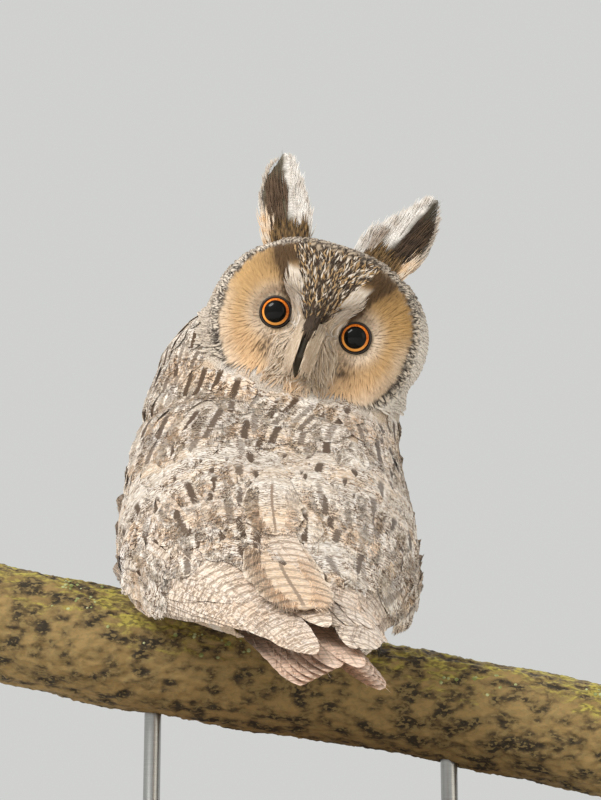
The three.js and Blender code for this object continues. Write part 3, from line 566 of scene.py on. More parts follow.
def solid_copy(name, nodes, grow=0.0):
    """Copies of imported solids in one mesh, with their corners joined and each made fatter by grow."""
    joined = bmesh.new()
    for node in nodes:
        part = bmesh.new()
        part.from_mesh(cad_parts[node].data)
        bmesh.ops.remove_doubles(part, verts=part.verts, dist=1e-6)
        part.normal_update()
        for corner in part.verts:
            corner.co += corner.normal * grow * MM
        copy = as_mesh(part, node + "_copy")
        joined.from_mesh(copy)
        bpy.data.meshes.remove(copy)
    return as_mesh(joined, name)


def remesh(mesh, voxel):
    """One closed surface round everything in the mesh, in cells of the voxel's size in millimetres."""
    holder = new_object(mesh.name, mesh)
    cells = holder.modifiers.new("Cells", "REMESH")
    cells.mode = "VOXEL"
    cells.voxel_size = voxel * MM
    cells.use_smooth_shade = True
    ready = holder.evaluated_get(bpy.context.evaluated_depsgraph_get())
    result = bpy.data.meshes.new_from_object(ready)
    result.name = mesh.name + "_closed"
    bpy.data.objects.remove(holder)
    return result


def relax(mesh, times, share=0.6):
    """Draws each point a share of the way to its neighbours' middle, to take the cells' steps away."""
    edges = np.empty(len(mesh.edges) * 2, dtype=np.int32)
    mesh.edges.foreach_get("vertices", edges)
    first, second = edges.reshape(-1, 2).T
    points = read_points(mesh)
    count = np.bincount(edges, minlength=len(points))[:, None]
    for _ in range(times):
        total = np.stack(
            [
                np.bincount(first, points[second, axis], len(points))
                + np.bincount(second, points[first, axis], len(points))
                for axis in range(3)
            ],
            -1,
        )
        points = mix(points, total / np.maximum(count, 1), share)
    write_points(mesh, points)


print("mesh helpers ready")

# %% [markdown]
# The folded wings are flesh too: upper arm and forearm lie along the body's sides and lift the feathers on
# them. A pad on each side of the bed stands for them, thickest at the wrist.

# %% The pads of the folded wings
PAD_HEIGHT = 8.0


def pad_height(at, angle):
    """How far the folded wing raises the skin over the bed. The left wing is held a little looser."""
    off = np.abs(angle)
    along = smooth(-85, 0, at) * smooth(153, 136, at)
    across = mix(smooth(6, 36, off), 0.85, smooth(75, 20, at))
    looser = 1 + 0.5 * smooth(25, 70, angle) * smooth(-20, 10, at)
    return PAD_HEIGHT * along * across * smooth(122, 96, off) * looser


def wing_pad(side):
    at = np.linspace(-84, 156, 49)
    angle = -side * np.linspace(-3, 124, 25)
    at_grid, angle_grid = np.meshgrid(at, angle, indexing="ij")
    outer = on_bed(at_grid, angle_grid, pad_height(at_grid, angle_grid))
    inner = on_bed(at_grid, angle_grid, -0.5 * read_bed("back", at_grid).clip(2, 12))
    rows, columns = at_grid.shape
    points = np.concatenate([outer.reshape(-1, 3), inner.reshape(-1, 3)])
    index = np.arange(rows * columns).reshape(rows, columns)
    corners = [index[:-1, :-1], index[:-1, 1:], index[1:, 1:], index[1:, :-1]]
    quads = np.stack([c.ravel() for c in corners], -1)
    rim = np.concatenate([index[0, :-1], index[:-1, -1], index[-1, :0:-1], index[:0:-1, 0]])
    after = np.roll(rim, -1)
    wall = np.stack([after, rim, rim + rows * columns, after + rows * columns], -1)
    faces = np.concatenate([quads, quads[:, ::-1] + rows * columns, wall])
    mesh = bpy.data.meshes.new("wing_pad")
    mesh.from_pydata([tuple(p * MM) for p in points], [], faces.tolist())
    shell = bmesh.new()
    shell.from_mesh(mesh)
    bmesh.ops.recalc_face_normals(shell, faces=shell.faces)
    shell.to_mesh(mesh)
    shell.free()
    return mesh


# %% The skin
FLESH = ["torso", "neck", "head", "leg_left", "leg_right", "foot_left", "foot_right"]
FLESH += [f"toe_{side}_{number}" for side in ("left", "right") for number in (1, 2, 3, 4)]


def join(meshes, name):
    joined = bmesh.new()
    for mesh in meshes:
        joined.from_mesh(mesh)
    return as_mesh(joined, name)


# Depths of the plumage; how far out of the head the skin lies behind the lids, and how far round each eye
BODY_DEPTH, CROWN_DEPTH, FACE_DEPTH, COLLAR_DEPTH, LEG_DEPTH = 2.6, 1.8, 1.0, 0.4, 0.9
LID_BED, SOCKET_REACH = EYE_OUT + 6.2, 17


def coat_depth(points):
    """How deep the skin lies under the outside of the plumage, in millimetres."""
    side, up, out = to_head(points).T
    above_chin = np.where(out > 0, smooth(-3, 1, up - chin_line(side)), 1)
    near_head = smooth(66, 52, np.linalg.norm(points - HEAD_MIDDLE, axis=-1)) * above_chin
    crown = mix(CROWN_DEPTH, FACE_DEPTH, smooth(0, 14, out) * smooth(1.06, 0.98, disc_reach(side, up)))
    depth = mix(BODY_DEPTH, crown, near_head)
    depth = depth - 6 * bell(np.linalg.norm(points - in_head(-58, -20, -4), axis=-1), 15)
    collar = smooth(16, 4, chin_line(side) - up) * (1 - above_chin) * (out > 0)
    depth = mix(depth, COLLAR_DEPTH, collar)
    legs = smooth(140, 126, points[:, 2]) * smooth(-70, -58, points[:, 1])
    return mix(depth, LEG_DEPTH, legs)


def press_sockets(points):
    """Keeps the skin behind the lids, so that the whole of each eye shows."""
    side, up, out = to_head(points).T
    from_axis = np.hypot(np.abs(side) - EYE_SIDE, up)
    limit = LID_BED + 0.9 * np.maximum(from_axis - EYE_RADIUS, 0)
    near = (from_axis < SOCKET_REACH) & (out > 0)
    return np.where(near[:, None], in_head(side, up, np.minimum(out, limit)), points)


SKIN_CELL, STEPS_IN = 1.5, 4
flesh = join([solid_copy("flesh", FLESH, grow=0.6), wing_pad(LEFT), wing_pad(RIGHT)], "flesh")
skin = remesh(flesh, SKIN_CELL)
relax(skin, times=8)
for _ in range(STEPS_IN):
    shifted = read_points(skin)
    write_points(skin, shifted - read_normals(skin) * (coat_depth(shifted) / STEPS_IN + 0.1)[:, None])
    relax(skin, times=2)
write_points(skin, press_sockets(read_points(skin)))
SKIN = BVHTree.FromPolygons(read_points(skin).tolist(), [tuple(face.vertices) for face in skin.polygons])
SKIN_FACES = np.empty(len(skin.polygons) * 4, dtype=np.int32)
skin.polygons.foreach_get("vertices", SKIN_FACES)
SKIN_NORMALS = unit(read_normals(skin)[SKIN_FACES.reshape(-1, 4)].mean(1))
print("skin:", len(skin.polygons), "faces")

# %% [markdown]
# ## How a feather is made and laid
# Every feather is a thin closed vane with a raised middle and a frayed outline, drawn once in its own
# measures: across, along and height. To lay it, a line starts at its root, follows the skin in the
# direction of growth, and rises a little towards the tip, so that each tip covers the roots behind it. The
# drawn vane is then bent along that line. Working on whole arrays at once makes thousands of them quick,
# and each piece is one plain mesh.

# %% Lines that follow the skin


def settle(points):
    """The nearest places on the skin and its outward directions there."""
    places, faces = np.empty_like(points), np.empty(len(points), dtype=int)
    for i, point in enumerate(points.tolist()):
        place, _, face, _ = SKIN.find_nearest(point)
        places[i], faces[i] = place, face
    return places, SKIN_NORMALS[faces]


def lay(roots, grain, length, lift, sway, stations=6):
    """Middle lines over the skin. grain(points) gives the direction of growth and lift(share) the height.

    sway turns each feather a little off that direction.
    """
    length = np.broadcast_to(length, len(roots))
    place, normal = settle(roots)
    straight = grain(place)
    turn = straight + np.cross(normal, straight) * sway[:, None] - straight
    places, normals = [place], [normal]
    for _ in range(stations - 1):
        heading = grain(place) + turn
        flat = unit(heading - normal * (heading * normal).sum(-1, keepdims=True))
        place, fresh = settle(place + flat * (length / (stations - 1))[:, None])
        normal = unit(fresh + 0.6 * normal)
        places.append(place)
        normals.append(normal)
    places, normals = np.stack(places, 1), np.stack(normals, 1)
    height = lift(np.linspace(0, 1, stations))
    if height.ndim == 1:
        height = height[None]
    return rails(places + normals * height[..., None], normals)


def rails(middle, normals):
    """The middle line, the direction across and the direction up at each station of every feather."""
    ahead = unit(np.gradient(middle, axis=1))
    across = unit(np.cross(ahead, normals))
    return middle, across, np.cross(across, ahead)


print("laying helpers ready")

# %% The drawn vanes


# A vane never gets narrower than this share of its width
VANE_TIP = 0.06


def vane(seed, stations=9, columns=3, root=0.35, widest=0.5, blunt=2.4, camber=0.16, thin=0.05, ragged=0.06,
         barbs=14, barb=0.3):
    """Points (across, along, height) and triangles of one feather with a frayed edge and loose barbs."""
    draw = np.random.default_rng(seed)
    along = 1 - (1 - np.linspace(0, 1, stations)) ** 1.5
    end = np.clip((along - widest) / (1 - widest), 0, 1)
    half = mix(root, 1, smooth(0, widest, along)) * np.maximum(1 - end**blunt, 0) ** 0.5
    half = np.maximum(half, VANE_TIP)
    share = np.linspace(-1, 1, columns)
    edge = 1 + ragged * draw.normal(size=(stations, 2)).clip(-1.5, 1.5) * smooth(0.2, 0.5, along)[:, None]
    across = share[None] * half[:, None] * np.where(share < 0, edge[:, :1], edge[:, 1:])
    over = camber * (1 - share**2)[None] * half[:, None]
    top = np.stack([across, np.broadcast_to(along[:, None], across.shape), over], -1)
    under = top[:, -2:0:-1].copy()
    under[..., 2] -= thin
    rings = np.concatenate([top, under], 1)
    size = rings.shape[1]
    points = rings.reshape(-1, 3)
    k, j = np.meshgrid(np.arange(stations - 1), np.arange(size), indexing="ij")
    a, b = k * size + j, k * size + (j + 1) % size
    triangles = split_quads(a, b, b + size, a + size)
    fan = np.arange(1, size - 1)
    last = (stations - 1) * size
    triangles.append(np.stack([0 * fan, fan + 1, fan], -1))
    triangles.append(np.stack([0 * fan + last, fan + last, fan + 1 + last], -1))
    loose = loose_barbs(draw, barbs, barb, along, half, camber)
    corners = np.array([[0, 1, 2], [0, 3, 1], [1, 3, 2], [2, 3, 0]])
    first = len(points) + 4 * np.arange(barbs)
    triangles.append((corners[None] + first[:, None, None]).reshape(-1, 3))
    return np.concatenate([points, loose.reshape(-1, 3)]), np.concatenate(triangles)


def loose_barbs(draw, count, size, along, half, camber):
    """Thin spikes that start on the vane, stand out past its edge and lean towards its tip."""
    where = draw.uniform(0.3, 1.0, count) ** 0.7
    side = np.where(np.arange(count) % 2 == 0, 1.0, -1.0)
    wide = np.interp(where, along, half)
    start = draw.uniform(0.45, 0.9, count)
    lean = draw.uniform(0.7, 1.3, count)
    reach = size * draw.uniform(0.5, 1.2, count) + (0.9 - start) * wide
    foot = np.stack([side * wide * start, where - 0.05, camber * (1 - start**2) * wide + 0.015], -1)
    point = foot + np.stack([side * reach * np.cos(lean), reach * np.sin(lean) * 0.5, -0.5 * foot[:, 2]], -1)
    fat = np.array([0.045, 0.012, 0.03])
    low = foot + np.array([0, -1, -0.5]) * fat
    high = foot + np.array([0, 1, -0.5]) * fat
    top = foot + np.array([0, 0, 1.0]) * fat
    spikes = np.stack([low, high, top, point], 1)
    volume = np.einsum("ij,ij->i", np.cross(high - low, top - low), point - low)
    turned = volume > 0
    spikes[turned] = spikes[turned][:, [1, 0, 2, 3]]
    return spikes


def blade(seed, stations=4, root=0.7, widest=0.35, blunt=1.2, ridge=0.3):
    """A hair-like feather with three sides, for the face and for loose down."""
    draw = np.random.default_rng(seed)
    along = np.linspace(0, 1, stations)
    end = np.clip((along - widest) / (1 - widest), 0, 1)
    half = mix(root, 1, smooth(0, widest, along)) * np.maximum(1 - end**blunt, 0)
    half = np.maximum(half, 0.03) * (1 + 0.06 * draw.normal(size=stations))
    ring = np.array([[-1, 0, 0], [0, 0, ridge], [1, 0, 0]])
    points = np.stack([ring * w + [0, v, 0] for v, w in zip(along, half)]).reshape(-1, 3)
    k, j = np.meshgrid(np.arange(stations - 1), np.arange(3), indexing="ij")
    a, b = k * 3 + j, k * 3 + (j + 1) % 3
    triangles = split_quads(a, b, b + 3, a + 3)
    last = (stations - 1) * 3
    triangles += [np.array([[0, 2, 1]]), np.array([[last, last + 1, last + 2]])]
    return points, np.concatenate(triangles)


def signed_volume(shape):
    points, triangles = shape
    a, b, c = (points[triangles[:, i]] for i in range(3))
    return np.einsum("ij,ij->i", np.cross(a, b), c).sum() / 6


print("vane encloses", round(signed_volume(vane(1)), 4), "blade", round(signed_volume(blade(1)), 4))

# %% A coat gathers feathers into one mesh


# Size of one feather on the flat map of the skin
FLAT_SIZE = 0.003


class Coat:
    """Feathers as arrays, with all that the plumage shader reads from their mesh."""

    def __init__(self, name, seed):
        self.name, self.draw = name, np.random.default_rng(seed)
        self.parts, self.size, self.count = [], 0, 0

    def add(self, lines, shapes, width, paint, unwrap, every_point=False, marks=None, shade=0.22,
            colour=None):
        """Bends the drawn shapes along the lines. paint gives colours, unwrap places on the flat skin.

        paint is read on the middle line or at every_point. marks replaces its marks, shade darkens the root,
        and colour changes the ground by the place on the vane.
        """
        middle, across_way, up_way = lines
        stations = middle.shape[1]
        width = np.broadcast_to(width, len(middle))
        span = np.linalg.norm(np.diff(middle, axis=1), axis=-1).sum(1)
        choice = self.draw.integers(len(shapes), size=len(middle))
        for number, (drawn, corners) in enumerate(shapes):
            chosen = np.flatnonzero(choice == number)
            if not len(chosen):
                continue
            across, along, height = drawn.T
            first = np.clip((along * (stations - 1)).astype(int), 0, stations - 2)
            part = along * (stations - 1) - first
            held = np.clip(part, 0, 1)[None, :, None]
            rows = [rail[chosen] for rail in (middle, across_way, up_way)]
            line = mix(rows[0][:, first], rows[0][:, first + 1], part[None, :, None])
            sideways = unit(mix(rows[1][:, first], rows[1][:, first + 1], held))
            upward = unit(mix(rows[2][:, first], rows[2][:, first + 1], held))
            half = width[chosen][:, None, None] / 2
            out_sideways = sideways * (across[None, :, None] * half)
            points = line + out_sideways + upward * (height[None, :, None] * half)
            if every_point:
                ground, mark = paint(points.reshape(-1, 3))
                ground, mark = ground.reshape(points.shape), mark.reshape(points.shape)
            else:
                painted = [x.reshape(len(chosen), stations, 3) for x in paint(rows[0].reshape(-1, 3))]
                ground, mark = (mix(x[:, first], x[:, first + 1], held) for x in painted)
            if colour is not None:
                ground = colour(ground, across, along)
            if marks is not None:
                mark = mark * 0 + np.array(marks)
            mark[..., 0] *= self.draw.uniform(0.5, 1.6, (len(chosen), 1)).clip(0, 1)
            tint = 1 + 0.04 * self.draw.normal(size=(len(chosen), 1, 1)).clip(-2, 2)
            shaded = 1 - shade * (1 - smooth(0.1, 0.6, along))
            ground = np.clip(ground * tint * shaded[None, :, None], 0, 1)
            near_root = np.stack([across * 0.5, along - 0.5], -1)[None] * FLAT_SIZE
            flat = unwrap(rows[0][:, 0])[:, None] + near_root
            own = self.draw.uniform(0, 900, (len(chosen), 1))
            aside, onward = across * half[..., 0], along * span[chosen][:, None]
            lie = np.stack(np.broadcast_arrays(aside, onward, own), -1)
            feather = np.stack([across * 0.5 + 0.5, along], -1)
            feather = np.broadcast_to(feather, (len(chosen), *feather.shape))
            shift = self.size + len(drawn) * np.arange(len(chosen))
            faces = corners[None] + shift[:, None, None]
            made = (points, faces, ground, mark, lie, feather, flat)
            self.parts.append([x.reshape(-1, x.shape[-1]) for x in made])
            self.size += len(chosen) * len(drawn)
        self.count += len(middle)

    def make(self, material, slot, replaces=()):
        points, faces, ground, mark, lie, feather, flat = (np.concatenate(x) for x in zip(*self.parts))
        mesh = build_mesh(self.name, points, faces, soft_edges=75)
        paint_points(mesh, ground, mark)
        point_layer(mesh, "lie", "FLOAT_VECTOR", lie)
        corner_points = faces.ravel()
        for name, values in (("Feather", feather), ("OFBake", flat)):
            layer = mesh.uv_layers.new(name=name)
            layer.uv.foreach_set("vector", values[corner_points].astype(np.float32).ravel())
        print(f"{self.name}: {self.count} feathers, {len(faces)} triangles")
        return piece(self.name, mesh, material, replaces)


# %% Where each root lies on the flat skin


def flat_body(points):
    at, angle = spine_place(points)
    return np.stack([0.5 + angle / 366, 0.03 + (at + 200) / 470], -1)


def flat_head(points):
    side, up, out = to_head(points).T
    far = np.sqrt(side**2 + up**2 + out**2)
    return np.stack([0.5 + np.arctan2(side, out) / 6.4, 0.5 + np.arcsin(up / far) / 3.3], -1)


# %% Neck and head


def neck_share(points):
    """0 where the neck leaves the shoulders, 1 where it enters the head."""
    return (points - NECK_FOOT) @ NECK_AXIS / np.linalg.norm(NECK_TOP - NECK_FOOT)


def on_head(points):
    """1 on the head, 0 on the neck, on the mantle in front of the chin, and below."""
    side, up, out = to_head(points).T
    near = np.sqrt((side / 58) ** 2 + ((up + 1) / 47) ** 2 + ((out + 2) / 50) ** 2)
    bare_chin = (out > 0) & (up < chin_line(side))
    return ((near < 1.06) & ((out > -30) | (up > -6)) & ~bare_chin).astype(float)


# %% [markdown]
# ## The coat of the back
# The mantle and scapulars cover the middle of the back and the tops of the wings. Their feathers are broad
# and soft, cream and grey with patches of buff and fine wavy lines, and a dark streak runs down the outer
# part of each. They stand in staggered rows round the body, like slates, and a little disorder in place and
# direction keeps them from looking knitted.

# %% Rows of roots round the body


def rows_of_roots(start, end, step, gap, reach, seed):
    """Roots in staggered rows. reach(at) gives the two angles between which a row runs."""
    draw = np.random.default_rng(seed)
    places = []
    for row, at in enumerate(np.arange(start, end, step)):
        girth = math.pi / 180 * (read_bed("wide", at) + read_bed("back", at)) / 2
        low, high = reach(at)
        turns = np.arange(low, high, gap / girth) + (row % 2) * gap / girth / 2
        turns = turns + draw.normal(size=len(turns)) * gap / girth * 0.13
        places.append(np.stack([at + draw.normal(size=len(turns)) * step * 0.16, turns], -1))
    at, angle = np.concatenate(places).T
    return on_bed(at, angle, 6.0)


def body_grain(points):
    at, _ = spine_place(points)
    towards_tail = -spine_frame(at)[1]
    return unit(mix(towards_tail, -NECK_AXIS, smooth(190, 230, points[:, 2])[:, None]))


def rise(root, tip):
    """Heights from root to tip, low at first."""
    return lambda share: root + (tip - root) * share**1.2


CONTOUR = [
    vane(seed, stations=11, columns=3, barbs=110, barb=0.2, ragged=0.1, camber=0.06) for seed in range(6)
]
print("a contour feather has", len(CONTOUR[0][1]), "triangles")

# %% The back


def back_reach(at):
    narrowing = smooth(-2, -48, at)
    return -113 + 34 * smooth(40, -10, at) + 46 * narrowing, 113 - 14 * smooth(30, -10, at) - 42 * narrowing


def over_wings(points):
    """How far the lowest of these feathers are lifted by the wing feathers that lie under them."""
    at, angle = spine_place(points)
    return 4.2 * smooth(98, 40, at) + 1.2 * bell(angle, 40) * smooth(30, 0, at) + 1.5 * smooth(0, -45, at)


def back_coat(name, roots, seed, slot):
    coat = Coat(name, seed)
    draw, count = coat.draw, len(roots)
    edge = smooth(52, 86, np.abs(spine_place(roots)[1]))
    bow = rise(-0.5, 0.8)(np.linspace(0, 1, 6)) - 1.2 * edge[:, None] * np.linspace(0, 1, 6) ** 2
    lift = over_wings(roots)[:, None] + bow + 0.08 * draw.normal(size=(count, 1))
    length = draw.normal(38, 3, count)
    lines = lay(roots, body_grain, length, lambda share: lift, sway=0.12 * draw.normal(size=count))
    width = draw.normal(20, 1.8, count)
    coat.add(lines, CONTOUR, width, body_paint, flat_body, shade=0.1)
    return coat.make(PLUMAGE, slot)


roots = rows_of_roots(-46, 184, step=13.0, gap=11.6, reach=back_reach, seed=1)
roots = roots[on_head(settle(roots)[0]) == 0]
at, turn = spine_place(roots)
bare = (at < -5) & (np.abs(turn) < 15) | (at < -14) & (turn > 38) | (at < -20) & (turn < -52)
roots, turn = roots[~bare], turn[~bare]
back_coat("back_feathers", roots[np.abs(turn) <= 42], 11, "body_feathers")
back_coat("wing_left_coverts", roots[turn > 42], 14, "wing_feathers")
back_coat("wing_right_coverts", roots[turn < -42], 15, "wing_feathers")

# %% [markdown]
# ## Roots all over the skin
# Away from the back, feathers stand at even but irregular distances. Geometry Nodes give just that:
# Distribute Points on Faces keeps every two points a chosen distance apart. A weight painted on the skin
# says where this coat grows, and the points that come out are the feathers' roots.

# %% Geometry Nodes in short


def open_tree(name, taken, given, numbers):
    """A tree that takes one mesh and named numbers, and gives one mesh."""
    tree = bpy.data.node_groups.new(name, "GeometryNodeTree")
    face = tree.interface
    face.new_socket(taken, in_out="INPUT", socket_type="NodeSocketGeometry")
    sockets = {}
    for key, kind in numbers.items():
        sockets[key] = face.new_socket(key, in_out="INPUT", socket_type="NodeSocket" + kind)
    face.new_socket(given, in_out="OUTPUT", socket_type="NodeSocketGeometry")
    return tree, sockets


def link(tree, rows):
    """Links nodes. Each row is a node and its output, then the next node and its input."""
    for source, given, target, taken in rows:
        tree.links.new(source.outputs[given], target.inputs[taken])


def grow(mesh, weight, tree, sockets, numbers):
    """What the tree grows on a copy of a mesh where the weight is above 0, as a plain mesh."""
    field = mesh.copy()
    point_layer(field, "grows", "FLOAT", weight)
    holder = new_object("field", field)
    grower = holder.modifiers.new("Grower", "NODES")
    grower.node_group = tree
    for key, number in numbers.items():
        grower[sockets[key].identifier] = number
    ready = holder.evaluated_get(bpy.context.evaluated_depsgraph_get())
    grown = bpy.data.meshes.new_from_object(ready)
    bpy.data.objects.remove(holder)
    bpy.data.meshes.remove(field)
    return grown


# %% A tree that scatters roots


def scattering_nodes(tree):
    """The painted weight, and points that keep a distance from each other."""
    weight = tree.nodes.new("GeometryNodeInputNamedAttribute")
    weight.data_type = "FLOAT"
    weight.inputs["Name"].default_value = "grows"
    spread = tree.nodes.new("GeometryNodeDistributePointsOnFaces")
    spread.distribute_method = "POISSON"
    return weight, spread


def roots_tree():
    numbers = {"Distance": "Float", "Density": "Float", "Seed": "Int"}
    tree, sockets = open_tree("feather_roots", "Skin", "Roots", numbers)
    start, end = tree.nodes.new("NodeGroupInput"), tree.nodes.new("NodeGroupOutput")
    weight, spread = scattering_nodes(tree)
    corners = tree.nodes.new("GeometryNodePointsToVertices")
    link(tree, (
        (start, "Skin", spread, "Mesh"),
        (start, "Distance", spread, "Distance Min"),
        (start, "Density", spread, "Density Max"),
        (start, "Seed", spread, "Seed"),
        (weight, "Attribute", spread, "Density Factor"),
        (spread, "Points", corners, "Points"),
        (corners, "Mesh", end, "Roots"),
    ))
    return tree, sockets


ROOTS_TREE, ROOTS_SOCKETS = roots_tree()
SKIN_POINTS = read_points(skin)


def scatter(where, distance, seed):
    """Roots at least a distance in millimetres apart, where the weight that where() gives is above 0."""
    apart = distance * MM
    numbers = {"Distance": apart, "Density": 2.5 / apart**2, "Seed": seed}
    scattered = grow(skin, where(SKIN_POINTS), ROOTS_TREE, ROOTS_SOCKETS, numbers)
    points = read_points(scattered)
    bpy.data.meshes.remove(scattered)
    return points


# %% Breast, belly and flanks


def grows_below(points):
    at, angle = spine_place(points)
    covered = (np.abs(angle) < 110) & (at > -4) & (at < 176)
    legs = smooth(140, 126, points[:, 2]) * smooth(-72, -62, points[:, 1]) * (np.abs(at) < 150)
    return np.where(covered | (on_head(points) > 0) | (neck_share(points) > 0.42) | (legs > 0.5), 0.0, 1.0)


below = Coat("breast_feathers", 12)
roots = scatter(grows_below, distance=9.5, seed=2)
sway = 0.15 * below.draw.normal(size=len(roots))
at = spine_place(roots)[0]
length = mix(10, 26, smooth(-50, 20, at)) * below.draw.normal(1, 0.07, len(roots))
height = rise(-0.6, 1.4)(np.linspace(0, 1, 6)) * mix(0.2, 1, smooth(-60, 0, at))[:, None]
lines = lay(roots, body_grain, length, lambda share: height, sway=sway)
below.add(lines, CONTOUR, length * 0.62, body_paint, flat_body)
below.make(PLUMAGE, "body_feathers")

# %% The neck


def grows_on_neck(points):
    share = neck_share(points)
    return np.where((share > 0.3) & (on_head(points) == 0), 1.0, 0.0)


def neck_paint(points):
    ground, marks = body_paint(points)
    side = to_head(points)[:, 0]
    pale = smooth(25, 45, np.abs(side)) * smooth(0.3, 0.6, neck_share(points))
    ground = blend(ground, blend(WHITE, CREAM, 0.5), 0.6 * pale)
    marks[:, 1] *= 1 - 0.4 * pale
    return ground, marks


neck = Coat("neck_feathers", 13)
roots = scatter(grows_on_neck, distance=7.0, seed=3)
share = smooth(0.3, 0.9, neck_share(roots))
sway = 0.13 * neck.draw.normal(size=len(roots))
lines = lay(roots, body_grain, mix(29, 17, share), rise(-0.5, 1.0), sway=sway)
neck.add(lines, CONTOUR[:3], mix(15, 9, share), neck_paint, flat_body)
neck.make(plumage("neck_plumage", streak=0.12), "body_feathers")

# %% [markdown]
# ## The head
# An owl's face is a dish of stiff hair-like feathers that radiate from each eye, closed by a rim of short
# dense ones. Two pale brows rise from the bill's root and leave a dark speckled wedge between them. Small
# scale-like feathers cover the crown. Markings are finer than a feather here, so the colour is read at
# every point of each blade.

# %% The facial disc
NO_MARKS = (0, 0, 0)
FINE = [blade(seed, stations=5) for seed in range(4)]
FLAT = [blade(seed, stations=5, ridge=0.1) for seed in range(4)]
SCALE = [vane(seed, stations=7, barbs=12, ragged=0.1, camber=0.22) for seed in range(4)]
FLAKE = [vane(seed, stations=5, barbs=6, barb=0.4, ragged=0.12) for seed in range(4)]
HEAD_PLUMAGE = plumage("head_plumage", streak=0.12, lines=UMBER, wave=1.3, barbs=0.15, flecks=0.0)


def grows_on_disc(points):
    side, up, out = to_head(points).T
    clear = np.hypot(np.abs(side) - EYE_SIDE, up) > 8.6
    return np.where((out > 4) & (disc_reach(side, up) < 0.98) & clear, 1.0, 0.0) * on_head(points)


def face_grain(points):
    """Outwards from each eye; up along the brows and wedge; down beside the bill."""
    side, up, out = to_head(points).T
    outwards = np.where(side >= 0, 1.0, -1.0)
    flow = unit(np.stack([side - outwards * EYE_SIDE, up, 0 * up], -1))
    rising = np.stack([(0.22 + 0.017 * up.clip(-8, 30)) * outwards, 1 + 0 * up, 0 * up], -1)
    wedge = np.stack([0.04 * side, 1 + 0 * up, 0 * up], -1)
    falling = np.stack([outwards * (0.75 * smooth(2, 15, np.abs(side)) - 0.1), -1 + 0 * up, 0 * up], -1)
    off = brow_line(side, up)
    on_brow = smooth(7, 4.5, off) * smooth(-6, 0, up) * smooth(33, 28, up)
    on_wedge = smooth(-3, -6, off) * smooth(-4, 1, up)
    by_bill = smooth(18, 11, np.abs(side)) * smooth(-1, -7, up)
    for towards, share in ((rising, on_brow), (wedge, on_wedge), (falling, by_bill)):
        flow = mix(flow, towards, share[:, None])
    return unit(flow) @ HEAD_AXES


disc = Coat("disc_feathers", 21)
roots = scatter(grows_on_disc, distance=1.08, seed=4)
side, up, out = to_head(roots).T
from_eye = np.hypot(np.abs(side) - EYE_SIDE, up)
length = mix(4.5, 10, smooth(9, 20, from_eye)) * disc.draw.normal(1, 0.12, len(roots))
length = length * mix(0.5, 1, smooth(0.98, 0.82, disc_reach(side, up)))
sway = 0.13 * disc.draw.normal(size=len(roots))
lines = lay(roots, face_grain, length, rise(0.1, 0.9), sway, stations=4)
disc.add(lines, FLAT, 1.35, head_paint, flat_head, every_point=True, marks=NO_MARKS, shade=0.0)
disc.make(HEAD_PLUMAGE, "face_feathers")

# %% Rim and ruff


def grows_on_rim(points):
    side, up, out = to_head(points).T
    reach = disc_reach(side, up)
    return np.where((reach > 0.95) & (reach < 1.1) & (out > -10), 1.0, 0.0) * on_head(points) * (up < 38)


def outward_grain(points):
    side, up, out = to_head(points).T
    return unit(np.stack([side, up, -0.35 * np.hypot(side, up)], -1)) @ HEAD_AXES


rim = Coat("rim_feathers", 22)
roots = scatter(grows_on_rim, distance=1.3, seed=5)
length = rim.draw.normal(5.5, 0.7, len(roots)) * (1 + 0.7 * smooth(-34, -50, to_head(roots)[:, 0]))
sway = 0.2 * rim.draw.normal(size=len(roots))
lines = lay(roots, outward_grain, length, rise(0.2, 2.2), sway, stations=4)
rim.add(lines, FLAKE, 1.6, head_paint, flat_head, every_point=True, marks=NO_MARKS, shade=0.1)
rim.make(HEAD_PLUMAGE, "face_feathers")

# %% Crown and nape


def grows_on_crown(points):
    side, up, out = to_head(points).T
    free = (disc_reach(side, up) > 1.02) | (out < 0) | (up > 36)
    return np.where(free, 1.0, 0.0) * on_head(points)


def crown_grain(points):
    side, up, out = to_head(points).T
    back = unit(np.stack([0.25 * side / 50, -0.35 + 0 * up, -1 + 0 * up], -1)) @ HEAD_AXES
    return unit(mix(back, -NECK_AXIS, smooth(-10, -34, out)[:, None]))


crown = Coat("crown_feathers", 23)
roots = scatter(grows_on_crown, distance=2.35, seed=6)
length = mix(6.5, 12, smooth(14, -40, to_head(roots)[:, 2]))
sway = 0.14 * crown.draw.normal(size=len(roots))
lines = lay(roots, crown_grain, length, rise(-0.3, 3.2), sway, stations=5)
crown.add(lines, SCALE, length * 0.48, head_paint, flat_head, every_point=True, shade=0.2)
crown.make(HEAD_PLUMAGE, "face_feathers")

# %% Brows, forehead and bristles


def stripe(points, test):
    side, up, out = to_head(points).T
    return np.where(test(side, up) & (out > 12), 1.0, 0.0) * on_head(points)


brows = Coat("brow_feathers", 24)


def brow_root(side, up):
    return (np.abs(brow_line(side, up)) < 3.2) & (up > -9) & (up < 16)


def wedge_root(side, up):
    return (brow_line(side, up) < -3.4) & (up > -6) & (up < 40)


def beside_bill(side, up):
    return (np.abs(side) > 2.6) & (np.abs(side) < 14) & (up < -1) & (up > -28)


def plain(first, second, seed, size=4):
    """Paint that wanders between two colours."""
    return lambda p: (blend(first, second, patches(p, size, seed)), np.zeros(p.shape))


